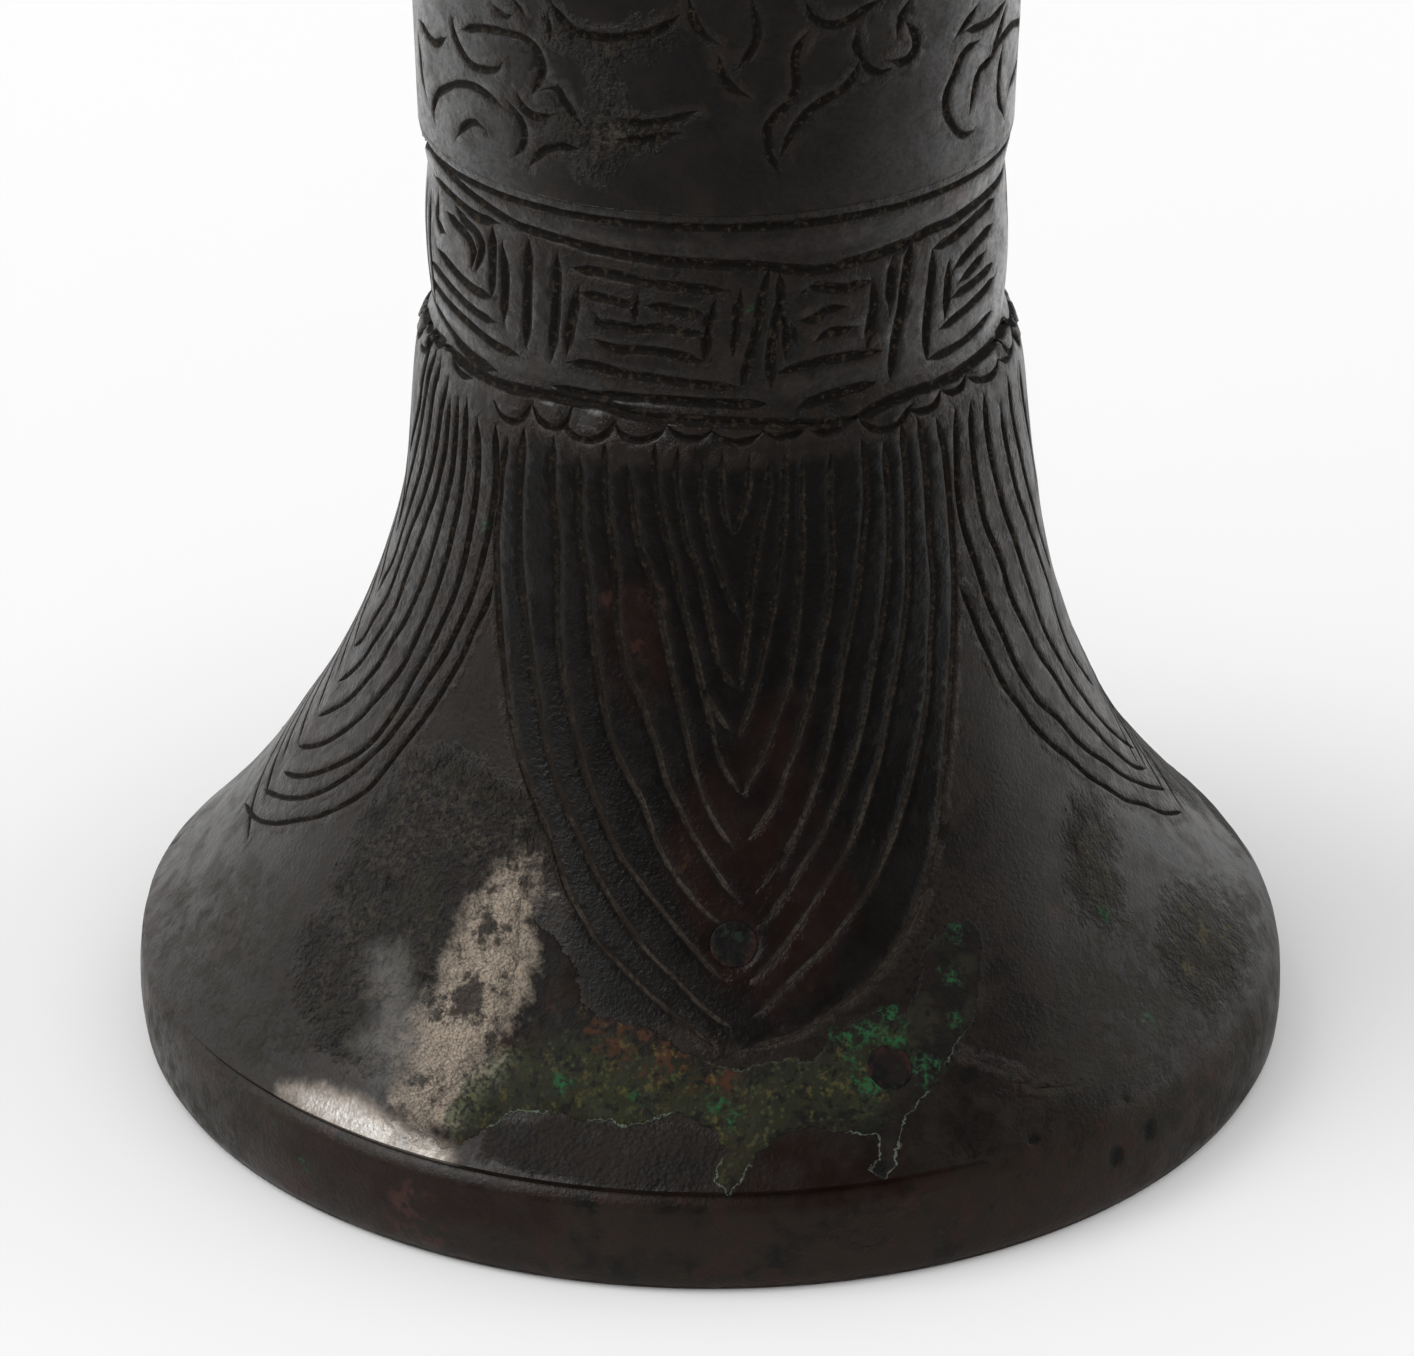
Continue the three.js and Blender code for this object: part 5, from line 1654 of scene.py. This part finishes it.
# %% The castings' patinated bronze
def make_bronze():
    paint = CastingFinish("patinated_bronze")
    skin = patina(paint)
    grit = paint.inside("grit", -1.2, 1.0, 2.2)
    skin = paint.blend(grit * (0.70 + 0.30 * paint.grime), skin, grit_colour(paint))

    rough = paint.inside("rough", -1.4, 1.2, 2.6)
    grainy = paint.cloud(1.3, 11.0, 7.0, 0.7)
    olive = paint.inside("olive", -1.6, 1.4, 1.6) * (0.10 + 0.90 * grainy.rise(0.46, 0.60))
    skin = paint.blend((olive * 0.6).most(rough * (0.2 + 0.5 * grainy.rise(0.44, 0.56))), skin, CRUST_OLIVE)
    moss_on_rough = paint.inside("rough", -0.4, 1.0) * paint.cloud(1.3, 24.0, 3.0).rise(0.52, 0.62)
    skin = paint.blend(moss_on_rough * paint.speck.rise(0.42, 0.56) * 0.8, skin, CRUST_YELLOW)

    green = paint.inside("green")
    crust = crust_colour(paint)
    skin = paint.blend(green, skin, crust)
    edge = (paint.measure("green") - PATCH_REACH + paint.ragged - 0.05).size().rise(0.02, 0.08)
    edge = (1.0 - edge) * paint.cloud(4.0, 16.0, 2.0).rise(0.44, 0.52)
    edge = edge * paint.axis("Z").rise(*PALE_EDGE_BELOW)
    skin = paint.blend(edge * 0.7, skin, CRUST_PALE)

    emerald = paint.inside("emerald", -0.55, 0.25, 1.4) * paint.cloud(0.7, 17.0, 4.0).rise(0.42, 0.58)
    skin = paint.blend(emerald * (0.12 + 0.88 * paint.speck.rise(0.42, 0.54)), skin, MALACHITE)
    pink = paint.inside("pink", -0.5, 0.3, 1.2) * paint.cloud(0.7, 18.0, 3.0).rise(0.42, 0.56)
    skin = paint.blend(pink * 0.6, skin, OXIDE_ORANGE)
    earth = paint.inside("earth", -0.6, 0.3, 1.8) * paint.cloud(0.9, 26.0, 4.0).rise(0.44, 0.60)
    skin = paint.blend(earth * 0.6, skin, EARTH_PINK)
    pit = paint.inside("pit", -0.3, 0.2, 0.8)
    skin = paint.blend(pit, skin, PATINA_BLACK)

    aged = paint.axis("Z").rise(*AGED_FROM) * paint.cloud(9.0, 19.0, 6.0, 0.6).rise(0.61, 0.68)
    skin = paint.blend(aged * 0.8, skin, crust)

    line = paint.measure("groove").rise(0.005, 0.10)
    dusty = paint.inside("leaf", -1.2, 0.2, 0.6) * (0.25 + 0.75 * paint.axis("Z").rise(*DUSTY_BELOW))
    drifts = paint.cloud(5.0, 36.0, 6.0, 0.7).rise(0.42, 0.58) * paint.speck.rise(0.38, 0.58)
    dust = paint.blend(0.15 + 0.85 * drifts, PATINA_BROWN, GROOVE_DUST)
    dirt = paint.blend(paint.cloud(0.45, 39.0, 5.0, 0.7).rise(0.52, 0.62), GROOVE_DIRT, GROOVE_GRIT)
    skin = paint.blend(line * 0.95, skin, dirt)
    skin = paint.blend(dusty * paint.measure("groove").rise(0.06, 0.17), skin, dust)

    # The worn patch is pale tan metal where the shoulder's highlight falls: part wear, part painted
    # highlight.
    pocked = paint.cloud(2.4, 7.0, 8.0, 0.72)
    wear_grain = (0.08 + 0.92 * pocked.rise(0.42, 0.52)) * (1.0 - 0.5 * paint.dots.rise(0.46, 0.60))
    worn = paint.inside("worn", -1.7, 1.3, 2.8) * wear_grain * (1.0 - line)
    # The rubbed patch is pale grey metal that fades upward from the crease: part polish, part painted
    # highlight.
    polish_and_highlight = paint.inside("polish_and_highlight", -0.6, 1.6, 1.1) * (1.0 - 0.35 * paint.fine_grime)
    polish_and_highlight = polish_and_highlight * paint.axis("Z").rise(*HIGHLIGHT_ABOVE_CREASE)
    # The sheen patch paints the skin paler grey and partly metallic where a sheen falls: a painted sheen.
    sheen = paint.inside("sheen", -1.4, 1.6, 1.4) * (1.0 - 0.6 * paint.fine_grime)
    bare_metal_and_highlight = polish_and_highlight.most(worn)
    skin = paint.blend(bare_metal_and_highlight, skin, paint.blend(polish_and_highlight, WORN_TAN_AND_HIGHLIGHT, POLISHED_GREY_HIGHLIGHT))
    skin = paint.blend(sheen * 0.42, skin, POLISHED_GREY_HIGHLIGHT)

    outside = paint.measure("outside").rise(0.3, 0.7)
    lining = paint.blend(paint.cloud(7.0, 20.0, 8.0, 0.65).rise(0.36, 0.66), INSIDE_EARTH, PATINA_DARK)
    powder = paint.cloud(6.0, 21.0, 8.0, 0.7).rise(0.56, 0.68) * paint.speck.rise(0.42, 0.56)
    lining = paint.blend(powder, lining, INSIDE_GREEN)
    skin = paint.blend(outside, lining, skin)

    rough_crust = green.most(grit * 0.75).most(rough * 0.75).most(aged).most(olive * 0.5)
    gritty = grit.most(rough) * (1.0 - green)
    grey = paint.inside("grey", -0.5, 0.3)
    leaf = paint.inside("leaf", -0.8, 0.8)
    handled = paint.axis("Z").rise(*RUBBED_FROM)
    brown_halo = paint.cloud(1.9, 29.0, 6.0, 0.65).rise(0.40, 0.56)
    dull_rim = paint.axis("Z").rise(*ON_DULL_RIM) * paint.axis("X").rise(*RIGHT_OF_MIDDLE)
    gloss = (0.12 + 0.86 * handled) * (1.0 - 0.45 * paint.grime) * (1.0 - 0.45 * paint.fine_grime)
    gloss = gloss * (1.0 - 0.35 * paint.speck.rise(0.46, 0.60)) * (1.0 - 0.25 * paint.dots.rise(0.44, 0.60))
    leaf_dull = leaf * (0.45 + 0.45 * paint.axis("Z").rise(*DULL_LEAF_BELOW))
    gloss = gloss * (1.0 - leaf_dull) * (1.0 - 0.85 * rough_crust) * (1.0 - line) * (1.0 - 0.85 * dull_rim)
    halo = paint.near_line() * brown_halo * (1.0 - line)
    gloss = gloss * (1.0 - 0.50 * halo) * (1.0 - 0.8 * grey) * outside
    roughness = 0.32 + paint.grime * 0.16 + paint.fine_grime * 0.10 + rough_crust * 0.36 + line * 0.50
    roughness = roughness + (1.0 - outside) * 0.4 + grey * 0.30 - bare_metal_and_highlight * 0.04 - gritty * 0.10
    plain_relief = 0.030 * paint.middling + 0.022 * paint.fine + 0.012 * paint.speck
    relief = plain_relief + (leaf * 0.7).most(1.0 - handled) * (0.045 * paint.speck + 0.020 * paint.dots)
    relief = relief + halo * (1.0 - 0.8 * leaf) * (0.14 * paint.speck + 0.12 * paint.fine)
    relief = relief + gritty * (0.30 * paint.speck + 0.34 * paint.fine + 0.14 * paint.grains(0.6, 3.0))
    relief = relief + rough_crust * (0.10 * paint.fine + 0.07 * paint.speck + 0.05 * paint.grains(0.45, 1.0))
    relief = relief + grey * (0.12 * paint.grains(0.34, 2.0) + 0.08 * paint.speck)
    worn_relief = 0.24 * pocked + 0.10 * paint.speck + 0.03 * paint.dots
    relief = relief + paint.inside("worn", -2.2, 1.0) * worn_relief
    relief = relief + line * (0.05 * paint.speck + 0.03 * paint.dots) - pit * 0.1 * paint.fine
    return paint.shade(skin, roughness, relief, Metallic=bare_metal_and_highlight * 0.9 + sheen * 0.30, IOR=SKIN_IOR,
                       Coat_Weight=gloss, Coat_Roughness=GLOSS_ROUGHNESS, Coat_IOR=GLOSS_IOR)


bronze = make_bronze()
for casting in (foot, knop, neck, disc):
    wear(casting, bronze)
print(len(bronze.node_tree.nodes), "nodes in the bronze")

# %% [markdown]
# The plugs are of a redder bronze than the walls, reddest round their edges,
# with a little green. The solder is a dull grey metal with a white bloom.

# %% The plugs' bronze and the solder
PLUG_BROWN = colour(0.0100, 0.0048, 0.0034)
PLUG_RED = colour(0.0380, 0.0090, 0.0055)
PLUG_GREEN = colour(0.0100, 0.0330, 0.0120)
SOLDER_DARK = colour(0.0700, 0.0680, 0.0640)
SOLDER_BLOOM = colour(0.2300, 0.2250, 0.2100)


def make_plug_bronze():
    paint = Finish(bpy.data.materials.new("plug_bronze"))
    blotch, fine = paint.cloud(1.2, 31.0, 4.0), paint.cloud(0.4, 32.0, 3.0)
    skin = paint.blend(blotch.rise(0.42, 0.60), PATINA_BLACK, PLUG_BROWN)
    rim = paint.measure("from_middle") + (fine - 0.5) * 0.5
    skin = paint.blend(rim.rise(0.60, 0.95) * blotch.rise(0.46, 0.56) * 0.6, skin, PLUG_RED)
    skin = paint.blend(paint.cloud(0.9, 33.0, 4.0).rise(0.56, 0.66) * 0.5, skin, PLUG_GREEN)
    return paint.shade(skin, 0.55 + 0.30 * blotch, 0.16 * blotch + 0.09 * fine, IOR=SKIN_IOR)


def make_solder():
    paint = Finish(bpy.data.materials.new("old_solder"))
    blotch, fine = paint.cloud(1.8, 41.0, 4.0), paint.cloud(0.5, 42.0, 3.0)
    skin = paint.blend(blotch.rise(0.42, 0.66), SOLDER_DARK, SOLDER_BLOOM)
    return paint.shade(skin, 0.50 + 0.30 * blotch, 0.08 * blotch + 0.03 * fine, Metallic=0.4 - 0.3 * blotch)


plug_bronze = make_plug_bronze()
solder = make_solder()
for plug in foot_plugs + neck_plugs:
    wear(plug, plug_bronze)
for sleeve in (fillet, foot_sleeve, neck_sleeve):
    wear(sleeve, solder)
for finish in (plug_bronze, solder):
    print(len(finish.node_tree.nodes), "nodes in", finish.name)

# %% [markdown]
# Every piece rides on the one body and stands for its CAD node. The frame
# then hides the plain solid and keeps the piece in its place.

# %% Put the pieces on the frame
def seat(piece, node, finish):
    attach(piece, "root")
    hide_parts(node)


seat(foot, "foot", "patinated_bronze")
seat(knop, "knop", "patinated_bronze")
seat(neck, "neck", "patinated_bronze")
seat(disc, "vessel_floor", "patinated_bronze")
seat(fillet, "floor_solder", "old_solder")
seat(foot_sleeve, "foot_joint_solder", "old_solder")
seat(neck_sleeve, "neck_joint_solder", "old_solder")
for number, plug in enumerate(foot_plugs):
    seat(plug, f"foot_pin_plug_{number + 1}", "plug_bronze")
for number, plug in enumerate(neck_plugs):
    seat(plug, f"neck_pin_plug_{number + 1}", "plug_bronze")
print("seated the castings, the disc, the solders,", len(foot_plugs), "and", len(neck_plugs), "plugs")

# %% [markdown]
# The vase stands on a plain white sweep of paper. The room behind and beside
# it is white, and the room over the camera is dark: the dark bronze mirrors
# both, so its middle is black and its edges are bright. One big soft lamp
# hangs over its left shoulder and a weaker one stands on the right.

# %% Floor
FLOOR_SIZE = 12.0
FLOOR_DROP = 0.2 * MILLIMETRE
FLOOR_WHITE = colour(0.96, 0.96, 0.96)
LIGHT_WHITE = colour(1.0, 1.0, 1.0)
PAPER_GLOW = 1.0
GLOW_IN_PAINTED_FOOT_SHADE, GLOW_AWAY = 0.05, 0.50
GLOW_STARTS, GLOW_FULL = 0.045, 0.085
MIRRORED_NEAR = 0.10
MIRRORED_FAR = 0.92
SWEEP_START, SWEEP_END = -0.16, 0.10
CONTACT_SHADE, CONTACT_NEAR, CONTACT_FAR = 0.45, 0.05, 0.12


def make_floor():
    deselect_all()
    bpy.ops.mesh.primitive_plane_add(size=FLOOR_SIZE, location=(0.0, 0.0, -FLOOR_DROP))
    floor = bpy.context.object
    floor.name = "paper_floor"
    bpy.ops.object.transform_apply(location=True)
    paint = Finish(bpy.data.materials.new("white_paper"))

    def glow(strength):
        return paint.node("Emission", {}, {"Color": LIGHT_WHITE, "Strength": strength})

    paper = paint.node("BsdfDiffuse", {}, {"Color": FLOOR_WHITE, "Roughness": 0.5})
    # For camera rays the paper glows less near the foot, which paints a shade round it.
    away = paint.node("VectorMath", {"operation": "LENGTH"}, [paint.here], "Value")
    glow_share_with_painted_shade = GLOW_IN_PAINTED_FOOT_SHADE + (GLOW_AWAY - GLOW_IN_PAINTED_FOOT_SHADE) * away.rise(GLOW_STARTS, GLOW_FULL)
    plain = paint.mix_shader(paint.seen_by("Camera", "Transmission") * glow_share_with_painted_shade, paper, glow(PAPER_GLOW))
    # For glossy rays the floor is a painted reflection, dim in front and bright behind, with a painted
    # shadow beside the foot on its right.
    back = paint.axis("Y").rise(SWEEP_START, SWEEP_END)
    in_contact_shade = CONTACT_SHADE * (1.0 - away.rise(CONTACT_NEAR, CONTACT_FAR))
    in_contact_shade = in_contact_shade * paint.axis("X").rise(-CONTACT_NEAR, CONTACT_NEAR)
    mirrored = paint.mix_shader(back, glow(MIRRORED_NEAR), glow(MIRRORED_FAR))
    mirrored = paint.mix_shader(in_contact_shade, mirrored, glow(0.0))
    paint.node("OutputMaterial", inputs=[paint.mix_shader(paint.seen_by("Glossy"), plain, mirrored)])
    wear(floor, paint.owner)


make_floor()

# %% World
ROOM_LIGHT = 0.85
BACKDROP_WHITE = 0.96
MIRROR_DARK = 0.035
MIRROR_BACK = 0.90
MIRROR_LEFT = 0.25
MIRROR_RIGHT = 0.05
SOFTBOX_GLOW = 1.7
BRIGHTEST = 2.4
BEHIND, AT_LEFT, AT_RIGHT = (0.0, 0.65), (-0.45, -0.95), (0.55, 0.95)
SOFTBOX_MIDDLE, SOFTBOX_EDGE = (-0.64, -0.30, 0.71), (0.84, 0.97)


def make_world():
    studio = Finish(bpy.data.worlds.new("studio"), "Generated")
    bpy.context.scene.world = studio.owner

    def light(strength):
        return studio.node("Background", {}, {"Color": LIGHT_WHITE, "Strength": strength})

    across, back = studio.axis("X"), studio.axis("Y")
    towards = [studio.here, SOFTBOX_MIDDLE]
    to_softbox = studio.node("VectorMath", {"operation": "DOT_PRODUCT"}, towards, "Value")
    bright = MIRROR_DARK + MIRROR_BACK * back.rise(*BEHIND) + MIRROR_LEFT * across.rise(*AT_LEFT)
    bright = bright + MIRROR_RIGHT * across.rise(*AT_RIGHT) + SOFTBOX_GLOW * to_softbox.rise(*SOFTBOX_EDGE)
    mirrored = studio.mix_shader(bright * (1 / BRIGHTEST), light(0.0), light(BRIGHTEST))
    unseen = studio.mix_shader(studio.seen_by("Glossy"), light(ROOM_LIGHT), mirrored)
    whole = studio.mix_shader(studio.seen_by("Camera", "Transmission"), unseen, light(BACKDROP_WHITE))
    studio.node("OutputWorld", inputs=[whole])


make_world()

# %% Lamps: direction from the vase, distance, width, height and power
LAMPS = {
    "left_softbox": ((-0.60, -0.15, 0.80), 0.9, 0.45, 0.55, 2.2),
    "right_softbox": ((0.95, 0.15, 0.35), 1.1, 0.35, 0.7, 0.8),
}
LAMP_AIM = Vector((0.0, 0.0, 0.04))


def hang_lamp(name, direction, distance, width, height, power):
    """A soft lamp in a direction from the vase, turned towards it."""
    data = bpy.data.lights.new(name, "AREA")
    data.shape = "RECTANGLE"
    data.size, data.size_y = width, height
    data.energy = power
    lamp = bpy.data.objects.new(name, data)
    bpy.context.scene.collection.objects.link(lamp)
    away = Vector(direction).normalized()
    lamp.location = LAMP_AIM + away * distance
    lamp.rotation_euler = away.to_track_quat("Z", "Y").to_euler()


for name, values in LAMPS.items():
    hang_lamp(name, *values)
bpy.context.scene.view_settings.view_transform = "Standard"
print(len(LAMPS), "lamps")
